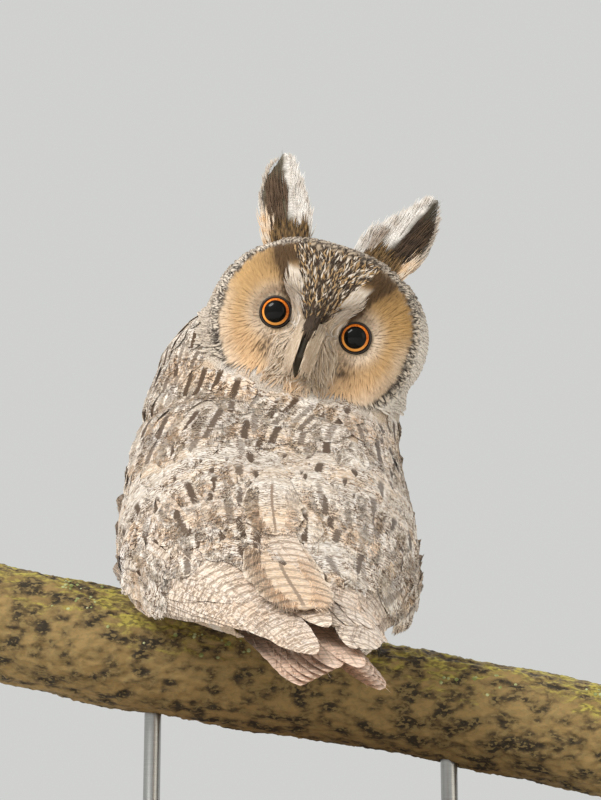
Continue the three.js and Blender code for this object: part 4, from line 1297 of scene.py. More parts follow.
brow_roots = scatter(lambda p: stripe(p, brow_root), distance=0.75, seed=7)
height = smooth(-6, 12, to_head(brow_roots)[:, 1])
length = mix(6.5, 10, height) * brows.draw.normal(1, 0.12, len(brow_roots))
lift = rise(0.4, 2.4)(np.linspace(0, 1, 5)) * mix(0.6, 1.1, height)[:, None]
sway = 0.13 * brows.draw.normal(size=len(length))
lines = lay(brow_roots, face_grain, length, lambda share: lift, sway, stations=5)
paint = plain(blend(WHITE, CREAM, 0.4), blend(CREAM, OCHRE, 0.45), 60, 1.3)
brows.add(lines, FINE, 0.7, paint, flat_head, shade=0.2)

wedge_roots = scatter(lambda p: stripe(p, wedge_root), distance=0.9, seed=8)
for part, colours in enumerate(((SOOT, UMBER), (blend(OCHRE, CREAM, 0.2), OCHRE), (CREAM, GREY))):
    turn = brows.draw.random(len(wedge_roots)) - 0.3 * smooth(16, -2, to_head(wedge_roots)[:, 1])
    chosen = wedge_roots[np.digitize(turn, [0.6, 0.85]) == part]
    length = brows.draw.normal(3.6, 0.6, len(chosen))
    sway = 0.4 * brows.draw.normal(size=len(chosen))
    lines = lay(chosen, face_grain, length, rise(0.3, 1.6 + 0.15 * part), sway, stations=4)
    brows.add(lines, FINE, 1.0, plain(*colours, 62 + part), flat_head, shade=0.1)

lore_roots = scatter(lambda p: stripe(p, beside_bill), distance=0.95, seed=9)
length = brows.draw.normal(12, 1.6, len(lore_roots))
near = smooth(9, 3, np.abs(to_head(lore_roots)[:, 0]))
height = rise(0.4, 3.0)(np.linspace(0, 1, 5)) * (1 + 1.3 * near)[:, None]
sway = 0.22 * brows.draw.normal(size=len(length))
lines = lay(lore_roots, face_grain, length, lambda share: height, sway, stations=5)
paint = plain(blend(CREAM, BUFF, 0.1), blend(GREY, OCHRE, 0.7), 61, 1.8)
brows.add(lines, FINE, 0.85, paint, flat_head, shade=0.3)


def bill_bristles():
    """Hairs that spring from the bill's root and lie along its sides, dark at the top and cream below."""
    draw = brows.draw
    share = np.linspace(0, 1, 6)[None]
    # number, heights of the highest and lowest root, least and greatest distance aside, lengths, colours
    for count, high, low, near, far, long, colours in (
        (110, 5, -3, 0.0, 3.4, (5, 9), (SOOT, UMBER)),
        (860, 1, -15, 2.5, 7.2, (9, 15), (blend(CREAM, BUFF, 0.15), blend(GREY, OCHRE, 0.7))),
    ):
        hand = np.where(draw.random(count) < 0.5, -1.0, 1.0)[:, None]
        start = draw.uniform(low, high, count)[:, None]
        aside = draw.uniform(near, far, count)[:, None]
        length = draw.uniform(*long, count)[:, None]
        side = hand * (aside - 0.1 * length * share * draw.uniform(-0.9, 0.7, (count, 1)))
        up = start - length * share
        ridge = 39.5 + 7.0 * smooth(4, -10, up) - 2.0 * smooth(-20, -30, up)
        out = ridge - 0.22 * np.minimum(np.abs(side), 6) ** 2 + 0.8 + 0.9 * np.sin(math.pi * share)
        out = np.maximum(out, 27 + 3 * share) - 1.5 * (1 - share) ** 2
        middle = in_head(side, up, out)
        lines = rails(middle, np.broadcast_to(HEAD_AXES[2], middle.shape))
        brows.add(lines, FINE, 0.75, plain(*colours, 66, 2.5), flat_head, shade=0.3)


bill_bristles()
brows.make(HEAD_PLUMAGE, "face_feathers")

# %% [markdown]
# ## The folded wings
# A folded wing is a stack of fans: primaries lowest, secondaries and tertials over them. Its coverts are
# already there, as the sides of the coat of the back. Each feather runs straight over the bed from a root
# to a tip, both given as a place on the spine, an angle and a height, and each is tilted a little about its
# own line so that its neighbour's edge slides under it.

# %% Lines over the bed


def bed_lines(side, roots, tips, tilt):
    """Middle lines of feathers from roots to tips, each (place, angle, height) on the bed of one wing."""
    share = np.linspace(0, 1, 9)[None, :, None]
    path = mix(roots[:, None], tips[:, None], share)
    at, angle = path[..., 0], -side * path[..., 1]
    height = path[..., 2] + pad_height(at, angle) - BODY_DEPTH + 0.2
    middle = on_bed(at, angle, height)
    ahead = on_bed(at + 1, angle, height) - on_bed(at - 1, angle, height)
    round_it = on_bed(at, angle + 1, height) - on_bed(at, angle - 1, height)
    normal = unit(np.cross(ahead, round_it))
    outside = (normal * (on_bed(at, angle, height + 1) - middle)).sum(-1, keepdims=True)
    normal = normal * np.sign(outside)
    line, across, up = rails(middle, normal)
    turned = across * math.cos(tilt) + up * math.sin(tilt)
    return line, turned, np.cross(turned, unit(np.gradient(line, axis=1)))


QUILL_SHAPE = {"root": 0.5, "widest": 0.25, "blunt": 3.2, "camber": 0.1, "thin": 0.035, "ragged": 0.03}
QUILL = [vane(seed, stations=22, columns=5, barbs=16, barb=0.14, **QUILL_SHAPE) for seed in range(3)]
BAR_BROWN = tone(132, 110, 90)
QUILL_PLUMAGE = plumage("wing_plumage", streak=0.025, dark=BAR_BROWN, bar=6.4, ragged=0.05, barbs=0.3,
                        flecks=0.3)


def wing_paint(points):
    ground, marks = body_paint(points)
    ground = blend(ground, blend(CREAM, PINK_BUFF, 0.35), 0.5)
    marks[:] = (0.5, 0.7, 0.65)
    return ground, marks


# %% Tiers of the wing, from the lowest to the topmost
TIERS = [
    # count, roots of the outer and inner feather, widths
    (11, (26, 104, 0.0), (10, 62, 0.2), (17, 20)),
    (11, (42, 92, 0.3), (50, 38, 0.5), (19, 22)),
    (5, (40, 36, 0.8), (46, 16, 1.0), (22, 25)),
]
WINGS = {
    # side, seed, how the line of tips bows out, and for each tier the tips of its outer and inner feather
    "wing_left": (LEFT, 31, (0, 0, 0), [
        ((-66, 88, 1.0), (-149, 34, 3.6)),
        ((-46, 86, 2.2), (-124, 8, 6.0)),
        ((-66, 30, 3.6), (-92, 4, 7.0)),
    ]),
    "wing_right": (RIGHT, 32, (-16, 12, 0), [
        ((-42, 76, 0.8), (-133, 10, 2.2)),
        ((-26, 74, 2.0), (-114, 3, 3.6)),
        ((-60, 28, 3.4), (-86, 4, 4.6)),
    ]),
}
WING_TILT = math.radians(8)


def wing_coat(name):
    side, seed, bow, tips = WINGS[name]
    coat = Coat(name + "_feathers", seed)
    for (count, outer, inner, widths), (tip_outer, tip_inner) in zip(TIERS, tips):
        share = np.linspace(0, 1, count)[:, None]
        root = mix(np.array(outer, float), np.array(inner, float), share)
        tip = mix(np.array(tip_outer, float), np.array(tip_inner, float), share)
        tip = tip + 4 * share * (1 - share) * np.array(bow, float)
        tip[:, 0] += 2.0 * coat.draw.normal(size=count)
        tip[:, 1] += 0.8 * coat.draw.normal(size=count)
        lines = bed_lines(side, root, tip, side * WING_TILT)
        coat.add(lines, QUILL, mix(*widths, share[:, 0]), wing_paint, flat_body, shade=0.12)
    return coat.make(QUILL_PLUMAGE, "wing_feathers", [name])


for name in WINGS:
    wing_coat(name)

# %% The long feathers over the rump


def rump_paint(points):
    warmer = 0.6 * smooth(20, -60, spine_place(points)[0])
    return blend(body_paint(points)[0], blend(BUFF, TAN, 0.15), warmer), np.zeros(points.shape)


def pale_sides(ground, across, along):
    return blend(ground, CREAM, 0.75 * smooth(0.45, 1.0, np.abs(across)))


def rump_coat():
    """Two broad barred feathers from the middle of the back, half hidden by the coat above them."""
    coat = Coat("rump_feathers", 33)
    plans = (
        # root, tip, width, strength of streak, wavy lines and bars
        ((-2, 2, 2.6), (-110, 18, 8.4), 34, (0.9, 0.45, 0.55)),
        ((44, 2, 3.0), (-34, 6, 6.6), 27, (0.9, 0.8, 0.3)),
    )
    for root, tip, width, marks in plans:
        lines = bed_lines(LEFT, np.array([root], float), np.array([tip], float), 0.0)
        coat.add(lines, BROAD, width, rump_paint, flat_body, marks=marks, shade=0.1, colour=pale_sides)
    return coat.make(BROAD_PLUMAGE, "body_feathers")


BROAD_SHAPE = {"widest": 0.62, "blunt": 2.6, "camber": 0.06, "thin": 0.03, "ragged": 0.05}
BROAD = [vane(seed, stations=24, columns=7, barbs=420, barb=0.16, **BROAD_SHAPE) for seed in range(3)]
BROAD_PLUMAGE = plumage("rump_plumage", streak=0.026, dark=BAR_BROWN, bar=9.0, ragged=0.04, barbs=0.3)
rump_coat()

# %% [markdown]
# ## The tail
# Twelve feathers from one root, the middle pair on top, closed to a narrow fan. They are the quills of the
# wing, laid on straight lines that part a little, because a closed tail hides all but their edges.

# %% Tail feathers
TAIL_ROOT, TAIL_LENGTH = -24, 124


def tail_paint(points):
    ground = np.broadcast_to(blend(PINK_BUFF, CREAM, 0.35), points.shape)
    return ground, np.broadcast_to([0.5, 0.5, 0.45], points.shape)


def tail_coat():
    coat = Coat("tail_feathers", 41)
    rank = np.repeat(np.arange(6), 2)
    side = np.tile([-1.0, 1.0], 6)
    share = np.linspace(0, 1, 9)[None]
    length = TAIL_LENGTH - 1.4 * rank
    at = TAIL_ROOT - length[:, None] * share
    origin, _, to_left, to_back = spine_frame(at)
    away = side[:, None] * mix(1.5 + 2.0 * rank[:, None], 4.5 + 2.2 * rank[:, None], share)
    height = 3.2 - 1.9 * (rank + 0.5 * (side > 0))[:, None] + 0 * share
    middle = origin + to_left * away[..., None] + to_back * height[..., None]
    coat.add(rails(middle, to_back), QUILL, 18.5, tail_paint, flat_body, shade=0.1)
    return coat.make(QUILL_PLUMAGE, "wing_feathers", ["tail"])


tail_coat()

# %% [markdown]
# ## The ear tufts
# The tufts aren't ears but long feathers over the brows, with a dark core and pale fluffy edges. The core
# of the one that is turned to the light looks olive grey, the other's nearly black; that light and shade is
# painted into the colours of their cores. Each is a leaf of nested vanes. Its colour is read across the
# whole leaf, and loose hairs soften its edges.

# %% Vanes and hairs of a tuft
TUFT_SHAPE = {"root": 0.5, "widest": 0.45, "blunt": 1.9, "camber": 0.12}
TUFT_VANE = [vane(seed, stations=16, columns=5, barbs=40, barb=0.22, **TUFT_SHAPE) for seed in range(4)]
WISP = [blade(seed, stations=6, root=0.8, widest=0.3, blunt=1.4) for seed in range(4)]
TUFT_PLUMAGE = plumage("tuft_plumage", streak=0.05, dark=SOOT, lines=SOOT, wave=1.6, ragged=0.1, flecks=0.0)
TUFT_HEIGHTS = [0, 12, 22, 32, 41, 47]
OUTER, INNER, CORE = 0, 1, 2
TUFTS = {
    # side, aside, up and lean of the tuft's foot, the painted shade of its core (less on the tuft turned to
    # the light), then by height: its outer edge, its inner edge and the middle of its core
    "ear_tuft_left": (RIGHT, 21.5, 39, 21, 0.85, [
        [8.5, 14.5, 14, 10.5, 5, 0],
        [-18, -17.5, -12.5, -8, -5, -1.5],
        [2, 5, 5.5, 4.5, 2, 0],
    ]),
    "ear_tuft_right": (LEFT, 30.5, 38, 20, 0.15, [
        [7, 12, 15, 12.5, 8, 1],
        [-13, -12, -11, -7, -4, -0.5],
        [1.5, 4.5, 6.5, 6, 4, 1.5],
    ]),
}
CORE_HEIGHTS, CORE_HALVES = [0, 12, 22, 34, 43, 47], [6, 7.8, 8, 6, 3.2, 1]


class Tuft:
    """One tuft's own measures: x across it and outwards, y up it, both in millimetres."""

    def __init__(self, name):
        self.side, self.aside, self.up, lean, self.darkness, self.edges = TUFTS[name]
        self.lean = math.radians(lean)

    def edge(self, which, y):
        return np.interp(y, TUFT_HEIGHTS, self.edges[which])

    def lines(self, x, y, depth):
        """Middle lines through arrays of places, one row for each feather."""
        cos, sin = math.cos(self.lean), math.sin(self.lean)
        away, rise_up = self.aside + x * cos + y * sin, self.up - x * sin + y * cos
        middle = in_head(self.side * away, rise_up, 5.5 - 0.1 * y + depth)
        return rails(middle, np.broadcast_to(HEAD_AXES[2], middle.shape))

    def place(self, points):
        side, up, _ = to_head(points).T
        away, rise_up = self.side * side - self.aside, up - self.up
        cos, sin = math.cos(self.lean), math.sin(self.lean)
        return away * cos - rise_up * sin, away * sin + rise_up * cos

    def paint(self, points):
        """Dark core, pale edges, buff at the outer foot."""
        x, y = self.place(points)
        fray = 2.2 * (patches(points, 2.4, 75) - 0.5)
        half = np.interp(y, CORE_HEIGHTS, CORE_HALVES)
        core = smooth(half + 1.6, half - 1.6, np.abs(x - self.edge(CORE, y) + fray))
        pale = blend(WHITE, GREY, 0.5 * patches(points, 3, 76))
        colour = blend(pale, BUFF, 0.8 * smooth(20, 4, y) * smooth(2, 8, x))
        # Painted light and shade: the shaft runs from olive grey on the tuft turned to the light to near
        # black on the other
        shaft = blend(tone(112, 102, 82), tone(56, 50, 38), self.darkness)
        dark = blend(shaft, SOOT, 0.4 * patches(points, 3.5, 77))
        colour = blend(colour, dark, core)
        foot = smooth(12, 3, y)
        mottled = blend(OCHRE, SOOT, smooth(0.4, 0.55, patches(points, 2.4, 78)))
        return blend(colour, mottled, 0.7 * foot), np.zeros(points.shape)

    def hairs(self, coat, count, across, along, lengths, turn, paint, depth, width=0.6):
        """Loose hairs from a patch of the tuft, which lean outwards by a turn in degrees and curl back."""
        draw = coat.draw
        share = np.linspace(0, 1, 6)[None]
        length = draw.uniform(*lengths, (count, 1))
        angle = np.radians(draw.normal(turn, 9, (count, 1)))
        x = draw.uniform(*across, (count, 1)) + length * np.sin(angle) * share * (1 - 0.35 * share)
        y = draw.uniform(*along, (count, 1)) + length * np.cos(angle) * share
        lines = self.lines(x, y, depth + draw.uniform(-1.5, 1.0, (count, 1)))
        coat.add(lines, WISP, width, paint, flat_head, shade=0.15)

    def fringe(self, coat, count, which, lengths, turn, paint, inmost=0.45):
        """Hairs along one edge of the leaf."""
        draw = coat.draw
        share = np.linspace(0, 1, 6)[None]
        foot = draw.uniform(3, 44, (count, 1))
        length = draw.uniform(*lengths, (count, 1)) * smooth(52, 36, foot).clip(0.35, 1)
        angle = np.radians(draw.normal(turn, 8, (count, 1)))
        start = self.edge(which, foot) * draw.uniform(inmost, 0.95, (count, 1))
        x = start + length * np.sin(angle) * share * (1 - 0.3 * share)
        y = foot + length * np.cos(angle) * share
        lines = self.lines(x, y, draw.uniform(-1.2, 0.9, (count, 1)))
        coat.add(lines, WISP, 0.42, paint, flat_head, shade=0.15)


def tuft_coat(name, seed):
    tuft, coat = Tuft(name), Coat(name + "_feathers", seed)
    reach = np.array([0, 0.3, -0.28, 0.58, -0.54, 0.84, -0.8, 0.14, -0.12, 0.45, -0.66])
    share = np.linspace(0, 1, 9)[None]
    y = mix(-5, (47.5 - 13 * np.abs(reach) ** 1.6)[:, None], share)
    edge = np.where(reach[:, None] > 0, tuft.edge(OUTER, y), -tuft.edge(INNER, y))
    x = reach[:, None] * edge * smooth(-14, 6, y) * 0.8
    lines = tuft.lines(x, y, -0.4 * np.arange(len(reach))[:, None] + 1.0)
    coat.add(lines, TUFT_VANE, 11.0, tuft.paint, flat_head, every_point=True, marks=(0, 0.25, 0), shade=0)
    white = plain(WHITE, blend(WHITE, GREY, 0.9), 71, 7)
    greyer = plain(blend(GREY, CREAM, 0.5), blend(GREY, BROWN, 0.4), 79, 3)
    mixed = plain(SOOT, blend(OCHRE, UMBER, 0.3), 72, 1.8)
    tuft.fringe(coat, 640, INNER, (5, 9), -16, white)
    tuft.fringe(coat, 200, OUTER, (3, 5.5), 10, greyer, inmost=0.86)
    tuft.hairs(coat, 130, (6, 12), (-3, 7), (8, 16), 8, plain(BUFF, CREAM, 73, 5), depth=1.5)
    tuft.hairs(coat, 620, (-11, 8), (-7, 3), (5, 13), -3, mixed, depth=2.0, width=0.7)
    # The core's hairs carry the same painted shade
    core = plain(blend(UMBER, SOOT, tuft.darkness), blend(BROWN, UMBER, tuft.darkness), 70, 5)
    tuft.hairs(coat, 260, (-1, 9), (6, 28), (9, 15), 5, core, depth=1.6, width=0.5)
    tuft.hairs(coat, 480, (1 + tuft.edge(INNER, 0), -4), (-4, 9), (8, 13), -8, white, depth=0.2)
    if name == "ear_tuft_left":
        tuft.hairs(coat, 60, (-12, -9), (3, 9), (9, 13), -12, plain(GREY, BROWN, 74, 4), depth=2.0)
    return coat.make(TUFT_PLUMAGE, "tuft_feathers", [name])


tuft_coat("ear_tuft_left", 51)
tuft_coat("ear_tuft_right", 52)

# %% [markdown]
# ## Legs and toes
# This owl is feathered down to its claws, with the smallest, softest feathers of its coat. The toes are too
# slim for rows, so here too the roots are scattered, and each feather lies down and away from the leg.

# %% Leg feathers


def grows_on_legs(points):
    low = smooth(142, 130, points[:, 2]) * (points[:, 1] > -66)
    return np.where((low > 0.3) & (points[:, 1] < 60), 1.0, 0.0)


def leg_grain(points):
    still = 0 * points[:, 0]
    return unit(np.stack([still, np.sign(points[:, 1] + 10) * 0.9, still - 0.7], -1))


def leg_paint(points):
    ground = blend(CREAM, BUFF, 0.8 * patches(points, 14, 81))
    return ground, np.zeros(points.shape)


legs = Coat("leg_feathers", 61)
roots = scatter(grows_on_legs, distance=2.6, seed=10)
length = legs.draw.normal(8, 0.8, len(roots)) * mix(1, 0.5, smooth(-15, -40, roots[:, 1]))
sway = 0.15 * legs.draw.normal(size=len(roots))
lines = lay(roots, leg_grain, length, rise(-0.2, 1.0), sway, stations=4)
legs.add(lines, SCALE, 3.6, leg_paint, flat_body, shade=0.2)
legs.make(PLUMAGE, "leg_feathers")

# %% The skin's own colour


def skin_material():
    make = Shader("downy_skin")
    down = make.noise(make.node("TexCoord").outputs["Object"], 1500.0, detail=3.0)
    ground = make.attribute("ground").outputs["Color"]
    _, wave_mark, _ = make.parts(make.attribute("marks").outputs["Vector"])
    wavy = make.times(make.step(0.48, 0.6, down), wave_mark)
    colour = make.mix(make.times(wavy, 0.6), ground, BROWN)
    colour = make.mix(0.25, colour, SOOT)
    return make.finish(colour, bump=down, strength=0.5, Roughness=0.9)


def paint_skin():
    """The same formulas as the feathers', read at every point of the skin."""
    places = read_points(skin)
    ground, marks = body_paint(places)
    for part, paint in ((on_head(places), head_paint), (grows_on_legs(places), leg_paint)):
        here = part > 0
        ground[here], marks[here] = paint(places[here])
    paint_points(skin, ground, marks)


paint_skin()
piece("skin", skin, skin_material(), FLESH)
print("skin stands for", len(FLESH), "solids")

# %% [markdown]
# ## Eyes, bill and claws
# The eyes are nearly immobile globes. Their colour runs in rings round the gaze: black pupil, orange iris,
# dark edge. A bulging cornea and a clear coat give the wet glint.

# %% Eyes
# How far the eyes look apart, and where pupil and iris end, in degrees from the gaze
GAZE_ASIDE = 0.026
PUPIL_EDGE, IRIS_EDGE = (31.6, 33.0), (41.2, 42.8)


def eye_globe(name, side):
    gaze = unit(np.array([side * GAZE_ASIDE, 0.02, 1.0]))
    right = unit(np.cross([0, 1, 0], gaze))
    above = np.cross(gaze, right)
    rings, sides = 48, 64
    angle = math.pi * (np.arange(rings + 1) / rings) ** 1.25
    angle[-1] = math.pi
    turn_round = 2 * math.pi * np.arange(sides) / sides
    reach = EYE_RADIUS + 0.9 * smooth(0.82, 0.35, angle)
    inner, turn_grid = np.meshgrid(angle[1:-1], turn_round, indexing="ij")
    far = reach[1:-1, None]
    level = far * np.sin(inner)
    local = np.stack([level * np.cos(turn_grid), level * np.sin(turn_grid), far * np.cos(inner)], -1)
    local = np.concatenate([local.reshape(-1, 3), [[0, 0, reach[0]], [0, 0, -reach[-1]]]])
    points = np.stack([right, above, gaze]).T @ local.T
    points = in_head(*(points + np.array([[side * EYE_SIDE], [0], [EYE_OUT]])))
    ring_index = np.arange((rings - 1) * sides).reshape(rings - 1, sides)
    next_index = np.roll(ring_index, -1, 1)
    faces = split_quads(ring_index[:-1], ring_index[1:], next_index[1:], next_index[:-1])
    front, rear = len(local) - 2, len(local) - 1
    first, last = ring_index[0], ring_index[-1]
    faces.append(np.stack([0 * first + front, first, np.roll(first, -1)], -1))
    faces.append(np.stack([0 * last + rear, np.roll(last, -1), last], -1))
    mesh = build_mesh(name, points, np.concatenate(faces))
    away = np.concatenate([np.repeat(angle[1:-1], sides), [0, math.pi]])
    spin = np.concatenate([np.tile(turn_round, rings - 1), [0, 0]])
    point_layer(mesh, "gaze", "FLOAT_VECTOR", np.stack([np.degrees(away), np.cos(spin), np.sin(spin)], -1))
    return mesh


def eye_material():
    make = Shader("eye")
    off_gaze, right, above = make.parts(make.attribute("gaze").outputs["Vector"])
    spokes = make.node("CombineXYZ", X=make.times(off_gaze, 0.02), Y=right, Z=above).outputs[0]
    fleck = make.noise(spokes, 9.0, detail=4.0)
    iris = make.mix(make.step(0.35, 0.7, fleck), tone(196, 88, 22), tone(242, 150, 58))
    iris = make.mix(make.step(-0.2, 0.9, make.times(above, -1.0)), iris, tone(248, 172, 84))
    colour = make.mix(make.step(*PUPIL_EDGE, off_gaze), tone(5, 5, 4), iris)
    colour = make.mix(make.step(*IRIS_EDGE, off_gaze), colour, tone(20, 14, 11))
    return make.finish(colour, Roughness=0.5, Coat_Weight=0.3, Coat_Roughness=0.015, Specular_IOR_Level=0.04)


EYE_MATERIAL = eye_material()
for name, side in (("eye_left", RIGHT), ("eye_right", LEFT)):
    globe = piece(name + "_globe", eye_globe(name, side), EYE_MATERIAL, [name])
    print(name, len(globe.data.polygons), "faces")

# %% Lids
LID_OUT, LID_RADIUS = 7.0, 7.35
LID_SIDES, LID_SECTION = 72, 12


def ring_tube(middle, axis, level, radius, tube):
    """A closed tube bent to a ring; radius and tube vary round it."""
    sides, section = LID_SIDES, LID_SECTION
    turn = 2 * math.pi * np.arange(sides) / sides
    level = unit(level - axis * (level @ axis))
    other = np.cross(axis, level)
    away = np.cos(turn)[:, None] * level + np.sin(turn)[:, None] * other
    roll = 2 * math.pi * np.arange(section) / section
    points = (middle + away[:, None] * (radius[:, None] + tube[:, None] * np.cos(roll))[..., None]
              + axis * (tube[:, None] * np.sin(roll))[..., None])
    index = np.arange(sides * section).reshape(sides, section)
    a, b = index, np.roll(index, -1, 1)
    c, d = np.roll(b, -1, 0), np.roll(a, -1, 0)
    return points.reshape(-1, 3), np.concatenate(split_quads(a, d, c, b))


def lids():
    make = Shader("lid_leather")
    grain = make.noise(make.node("TexCoord").outputs["Object"], 900.0, detail=3.0)
    colour = make.mix(grain, tone(14, 11, 9), tone(44, 34, 28))
    leather = make.finish(colour, bump=grain, strength=0.4, Roughness=0.55)
    for name, side in (("lid_left", RIGHT), ("lid_right", LEFT)):
        axis = unit(np.array([side * GAZE_ASIDE, 0.0, 1.0]))
        middle = np.array([side * EYE_SIDE, 0, EYE_OUT]) + axis * LID_OUT
        outer_top = 0.5 + 0.5 * np.cos(2 * math.pi * np.arange(LID_SIDES) / LID_SIDES)
        thick = 0.38 + 0.34 * outer_top
        points, faces = ring_tube(middle, axis, np.array([side * 0.8, 0.6, 0]), LID_RADIUS + thick, thick)
        piece(name, build_mesh(name, in_head(*points.T), faces), leather)


lids()

# %% Bill and claws


def horn_material():
    make = Shader("horn")
    where = make.node("TexCoord").outputs["Object"]
    cloud = make.noise(where, 260.0, detail=4.0)
    fine = make.noise(where, 1400.0, detail=2.0)
    colour = make.mix(cloud, tone(30, 25, 17), tone(64, 54, 36))
    sheen = {"Specular_IOR_Level": 0.3, "Coat_Weight": 0.08, "Coat_Roughness": 0.3}
    return make.finish(colour, bump=fine, strength=0.25, Roughness=0.5, **sheen)


HORN = horn_material()


def smooth_solid(name, nodes, voxel, times):
    mesh = remesh(solid_copy(name, nodes, grow=0.12), voxel)
    relax(mesh, times)
    return mesh


BILL = ["bill_upper", "bill_lower"]
piece("bill", smooth_solid("bill", BILL, voxel=0.42, times=6), HORN, BILL)
CLAWS = [f"claw_{side}_{number}" for side in ("left", "right") for number in (1, 2, 3, 4)]
piece("claws", smooth_solid("claws", CLAWS, voxel=0.4, times=3), HORN, CLAWS)
print("bill and", len(CLAWS), "claws")

# %% [markdown]
# ## The branch
# This bark is cracked into small plates, a little longer along the branch than across it, and its upper
# side carries moss. The solid log is remeshed, its surface is raised and sunk by ridged noise, and Geometry
# Nodes scatter flakes of lichen on the top.

# %% Bark
PERCH_SLOPE = math.radians(11.7)
PERCH_MIDDLE = np.array([6.0, 0.0, 86.0])
PERCH_ALONG = np.array([math.cos(PERCH_SLOPE), 0.0, -math.sin(PERCH_SLOPE)])
# Sizes of the plates and of the finer cracks, along the branch and in the two directions across it
PLATE, CRACK = np.array([8, 4.5, 4.5]), np.array([2.6, 1.8, 1.8])


def perch_place(points):
    """Along the branch, round it, and the distance from its middle line."""
    off = points - PERCH_MIDDLE
    along = off @ PERCH_ALONG
    away = off - along[:, None] * PERCH_ALONG
    upward = np.cross([0, 1, 0], PERCH_ALONG) * -1
    return along, np.arctan2(away[:, 1], away @ upward), np.linalg.norm(away, axis=-1)


def bark_relief(points):
    """Height of the bark in millimetres: plates and the finer cracks in them."""
    along, turn, away = perch_place(points)
    relief = np.zeros(len(points))
    place = np.stack([along, away * np.cos(turn), away * np.sin(turn)], -1)
    for i, (coarse, small) in enumerate(zip(place / PLATE, place / CRACK)):
        ridge = 1 - abs(noise.noise(coarse)) * 2.6
        relief[i] = 0.75 * ridge + 0.6 * noise.noise(small) - 0.35
    return relief


def bark_mesh():
    mesh = remesh(solid_copy("bark", ["perch"]), 1.25)
    relax(mesh, 4)
    points = read_points(mesh)
    write_points(mesh, points + read_normals(mesh) * bark_relief(points)[:, None])
    return mesh


def bark_material():
    make = Shader("bark")
    where = make.node("TexCoord").outputs["Object"]
    turned = make.node("Mapping", Vector=where, Rotation=(0, -PERCH_SLOPE, 0), Scale=(0.6, 1, 1)).outputs[0]
    coarse = make.noise(turned, 160.0, detail=6.0)
    fine = make.noise(turned, 620.0, detail=4.0)
    colour = make.mix(make.step(0.36, 0.62, coarse), tone(46, 37, 22), tone(146, 120, 74))
    colour = make.mix(make.times(make.step(0.5, 0.6, fine), 0.8), colour, tone(132, 112, 70))
    _, _, upward = make.parts(make.node("TexCoord").outputs["Normal"])
    cloud = make.noise(where, 26.0, detail=3.0)
    mossy = make.math("ADD", upward, make.times(make.math("SUBTRACT", cloud, 0.5), 2.2))
    moss = make.mix(make.step(0.4, 0.6, fine), tone(92, 88, 32), tone(178, 166, 70))
    spotted = make.times(make.step(0.25, 0.85, mossy), make.step(0.42, 0.58, coarse))
    colour = make.mix(make.times(spotted, 0.75), colour, moss)
    return make.finish(colour, bump=fine, strength=0.6, distance=0.0006, Roughness=0.9)


BARK = bark_material()
bark = piece("bark", bark_mesh(), BARK, ["perch"])
print("bark:", len(bark.data.polygons), "faces")

# %% Lichen


def flake_mesh():
    """A crumpled little cushion of lichen, a few dozen faces."""
    flake = bmesh.new()
    bmesh.ops.create_icosphere(flake, subdivisions=1, radius=1.0)
    for corner in flake.verts:
        crumple = 1 + 0.35 * noise.noise(corner.co * 2.3)
        corner.co = Vector((corner.co.x, corner.co.y, corner.co.z * 0.35)) * crumple
    return as_mesh(flake, "flake")


def lichen_material():
    make = Shader("lichen")
    where = make.node("TexCoord").outputs["Object"]
    spot = make.noise(where, 210.0, detail=2.0)
    colour = make.mix(make.step(0.35, 0.65, spot), tone(118, 126, 66), tone(176, 178, 132))
    return make.finish(colour, bump=make.noise(where, 2200.0), strength=0.5, Roughness=0.95)


def lichen_tree(flake, material):
    numbers = {"Distance": "Float", "Smallest": "Float", "Largest": "Float"}
    tree, sockets = open_tree("lichen_flakes", "Bark", "Lichen", numbers)
    new = tree.nodes.new
    start, end = new("NodeGroupInput"), new("NodeGroupOutput")
    weight, spread = scattering_nodes(tree)
    shape, place = new("GeometryNodeObjectInfo"), new("GeometryNodeInstanceOnPoints")
    real, coat = new("GeometryNodeRealizeInstances"), new("GeometryNodeSetMaterial")
    size = new("FunctionNodeRandomValue")
    spread.inputs["Density Max"].default_value = 300000
    spread.inputs["Seed"].default_value = 7
    shape.inputs["Object"].default_value = flake
    coat.inputs["Material"].default_value = material
    # Inputs 2 and 3 of a Random Value node are its least and greatest number, and output 1 is the number
    link(tree, (
        (start, "Bark", spread, "Mesh"),
        (start, "Distance", spread, "Distance Min"),
        (weight, "Attribute", spread, "Density Factor"),
        (spread, "Points", place, "Points"),
        (shape, "Geometry", place, "Instance"),
        (spread, "Rotation", place, "Rotation"),
        (start, "Smallest", size, 2),
        (start, "Largest", size, 3),
        (size, 1, place, "Scale"),
        (place, "Instances", real, "Geometry"),
        (real, "Geometry", coat, "Geometry"),
        (coat, "Geometry", end, "Lichen"),
    ))
    return tree, sockets


def grow_lichen():
    flake = new_object("flake", flake_mesh())
    material = lichen_material()
    tree, sockets = lichen_tree(flake, material)
    points, normals = read_points(bark.data), read_normals(bark.data)
    patch = smooth(0.42, 0.62, patches(points, 40, 91)) * smooth(0.55, 0.8, patches(points, 11, 92))
    left = smooth(40, -60, points[:, 0])
    weight = patch * smooth(0.1, 0.7, normals[:, 2]) * (0.25 + 0.75 * left)
    sizes = {"Distance": 1.5 * MM, "Smallest": 0.5 * MM, "Largest": 1.3 * MM}
    mesh = grow(bark.data, weight, tree, sockets, sizes)
    mesh.name = "lichen"
    bpy.data.objects.remove(flake)
    return piece("lichen", mesh, material)


print("lichen:", len(grow_lichen().data.polygons), "faces")

# %% [markdown]
# ## The display stand
# The photograph shows no stand, so it is kept plain: a dark wooden board with rounded edges and two turned
# steel rods that rise into the branch.

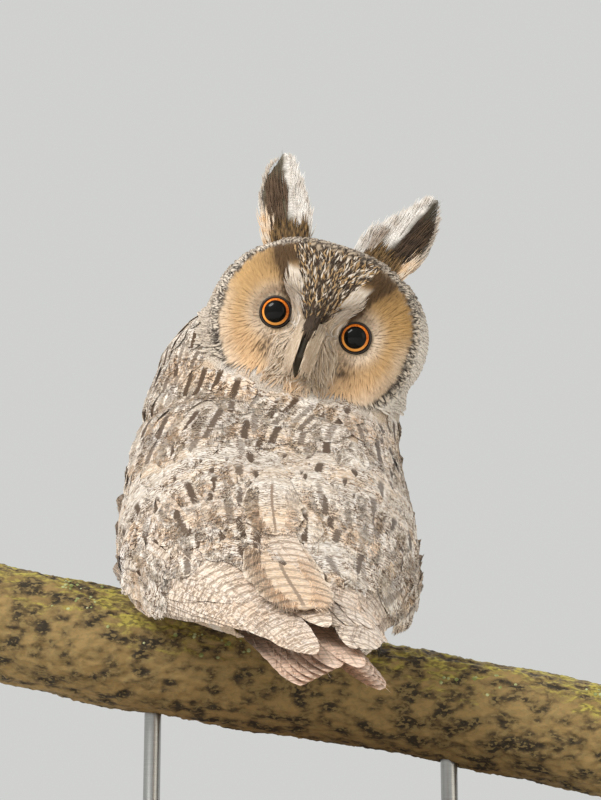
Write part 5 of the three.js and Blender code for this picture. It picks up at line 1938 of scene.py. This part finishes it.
# %% Board and rods
# The board's size, corner and edge, in metres; in millimetres each rod's place along X and its top, and the
# (radius, height) pairs of its foot
BOARD_SIZE, BOARD_CORNER, BOARD_EDGE = (0.230, 0.170, 0.012), 0.018, 0.0015
RODS = {"stand_rod_left": (-70, 87.2), "stand_rod_right": (70, 58.2)}
ROD_FOOT = [(10, 12), (10, 13.7), (9.6, 14.3), (8.8, 14.5), (5.2, 14.7), (4.4, 15.2), (4, 16.2)]
ROD_RADIUS, ROD_SIDES = 4, 48


def wood_material():
    make = Shader("oiled_wood")
    where = make.node("TexCoord").outputs["Object"]
    long_grain = make.node("Mapping", Vector=where, Scale=(0.08, 1, 1)).outputs[0]
    rings = make.node("TexWave", {"bands_direction": "Y"}, Vector=long_grain, Scale=38.0, Distortion=7.0,
                      Detail=3.0)
    pores = make.noise(long_grain, 2400.0, detail=3.0)
    colour = make.mix(rings.outputs["Fac"], tone(78, 54, 38), tone(128, 92, 64))
    colour = make.mix(make.step(0.56, 0.7, pores), colour, tone(52, 36, 26))
    oil = {"Roughness": 0.42, "Coat_Weight": 0.15, "Coat_Roughness": 0.25}
    return make.finish(colour, bump=pores, strength=0.15, **oil)


def steel_material():
    make = Shader("brushed_steel")
    where = make.node("TexCoord").outputs["Object"]
    brushed = make.node("Mapping", Vector=where, Scale=(1, 1, 60)).outputs[0]
    lines = make.noise(brushed, 90.0, detail=2.0)
    colour = make.mix(lines, tone(150, 150, 148), tone(190, 190, 188))
    return make.finish(colour, bump=lines, strength=0.08, Metallic=1.0, Roughness=0.32)


def turned(profile, place):
    """A turned rod from (radius, height) pairs, closed at both ends."""
    sides = ROD_SIDES
    angle = 2 * math.pi * np.arange(sides) / sides
    points = [[place[0] + r * math.cos(a), place[1] + r * math.sin(a), z] for r, z in profile for a in angle]
    points += [[*place, profile[0][1]], [*place, profile[-1][1]]]
    faces = []
    for k in range(len(profile) - 1):
        for i in range(sides):
            a, b = k * sides + i, k * sides + (i + 1) % sides
            faces += [[a, b, b + sides], [a, b + sides, a + sides]]
    low, high, last = len(points) - 2, len(points) - 1, (len(profile) - 1) * sides
    for i in range(sides):
        faces.append([low, (i + 1) % sides, i])
        faces.append([high, last + i, last + (i + 1) % sides])
    return np.array(points), np.array(faces)


def show_stand():
    wood, steel = wood_material(), steel_material()
    shape = bmesh.new()
    bmesh.ops.create_cube(shape, size=1.0)
    bmesh.ops.scale(shape, verts=shape.verts, vec=BOARD_SIZE)
    bmesh.ops.translate(shape, verts=shape.verts, vec=(0, 0, BOARD_SIZE[2] / 2))
    climb = lambda edge: abs(edge.verts[0].co.z - edge.verts[1].co.z)
    upright = [edge for edge in shape.edges if climb(edge) > 0.005]
    bmesh.ops.bevel(shape, geom=upright, offset=BOARD_CORNER, segments=10, profile=0.5, affect="EDGES")
    rim = [edge for edge in shape.edges if climb(edge) < 1e-6 and edge.calc_face_angle(0) > 1]
    bmesh.ops.bevel(shape, geom=rim, offset=BOARD_EDGE, segments=4, profile=0.5, affect="EDGES")
    board = as_mesh(shape, "board")
    board.shade_smooth()
    board.set_sharp_from_angle(angle=math.radians(40))
    piece("board", board, wood, ["stand_base"])
    for name, (x, top) in RODS.items():
        rod = turned(ROD_FOOT + [(ROD_RADIUS, top)], (x, 0))
        mesh = build_mesh(name + "_turned", *rod, soft_edges=50)
        piece(name + "_turned", mesh, steel, [name])


show_stand()
print("stand shown")

# %% [markdown]
# ## Light, floor and camera
# The photograph is bright and soft, lit from the upper left. Broad pale lights give that without hard
# shadows. The camera stands below the perch and looks up, as the photograph's does.

# %% Floor and light


def sheet_floor():
    mesh = bpy.data.meshes.new("floor")
    reach = 6.0
    corners = [(-reach, -reach, 0), (reach, -reach, 0), (reach, reach, 0), (-reach, reach, 0)]
    mesh.from_pydata(corners, [], [(0, 1, 2, 3)])
    floor = new_object("floor", mesh)
    make = Shader("pale_floor")
    mesh.materials.append(make.finish(tone(226, 224, 220), Roughness=0.9))


def soft_light(name, place, power, size, colour=(1, 1, 1)):
    lamp = bpy.data.lights.new(name, "AREA")
    lamp.shape, lamp.size, lamp.energy, lamp.color = "DISK", size, power, colour
    holder = new_object(name, lamp)
    holder.location = place
    towards_bird = Vector((0, 0, 0.2)) - Vector(place)
    holder.rotation_euler = towards_bird.to_track_quat("-Z", "Y").to_euler()


sheet_floor()
soft_light("key_light", (-1.1, -1.2, 1.5), 40, 1.0, (1.0, 0.99, 0.97))
soft_light("fill_light", (1.4, -1.1, 0.5), 4, 1.2, (1.0, 0.9, 0.72))
soft_light("back_light", (0.6, 1.4, 1.4), 16, 1.0)
world = bpy.data.worlds.new("studio")
world.use_nodes = True
world.node_tree.nodes["Background"].inputs["Color"].default_value = (0.93, 0.94, 0.92, 1)
world.node_tree.nodes["Background"].inputs["Strength"].default_value = 0.68
bpy.context.scene.world = world
bpy.context.scene.view_settings.view_transform = "Standard"

# %% Camera
FOCAL_PIXELS, PICTURE_HEIGHT, SENSOR_HEIGHT = 1875, 800, 24
CAMERA_PLACE, CAMERA_SLOPE = (0, -0.9, 0.014), 13.2
camera_data = bpy.data.cameras.new("camera")
camera_data.sensor_fit = "VERTICAL"
camera_data.sensor_height = SENSOR_HEIGHT
camera_data.lens = SENSOR_HEIGHT * FOCAL_PIXELS / PICTURE_HEIGHT
camera = new_object("camera", camera_data)
camera.location = CAMERA_PLACE
camera.rotation_euler = (math.radians(90 + CAMERA_SLOPE), 0, 0)
bpy.context.scene.camera = camera
print("camera lens", round(camera_data.lens, 1), "mm")
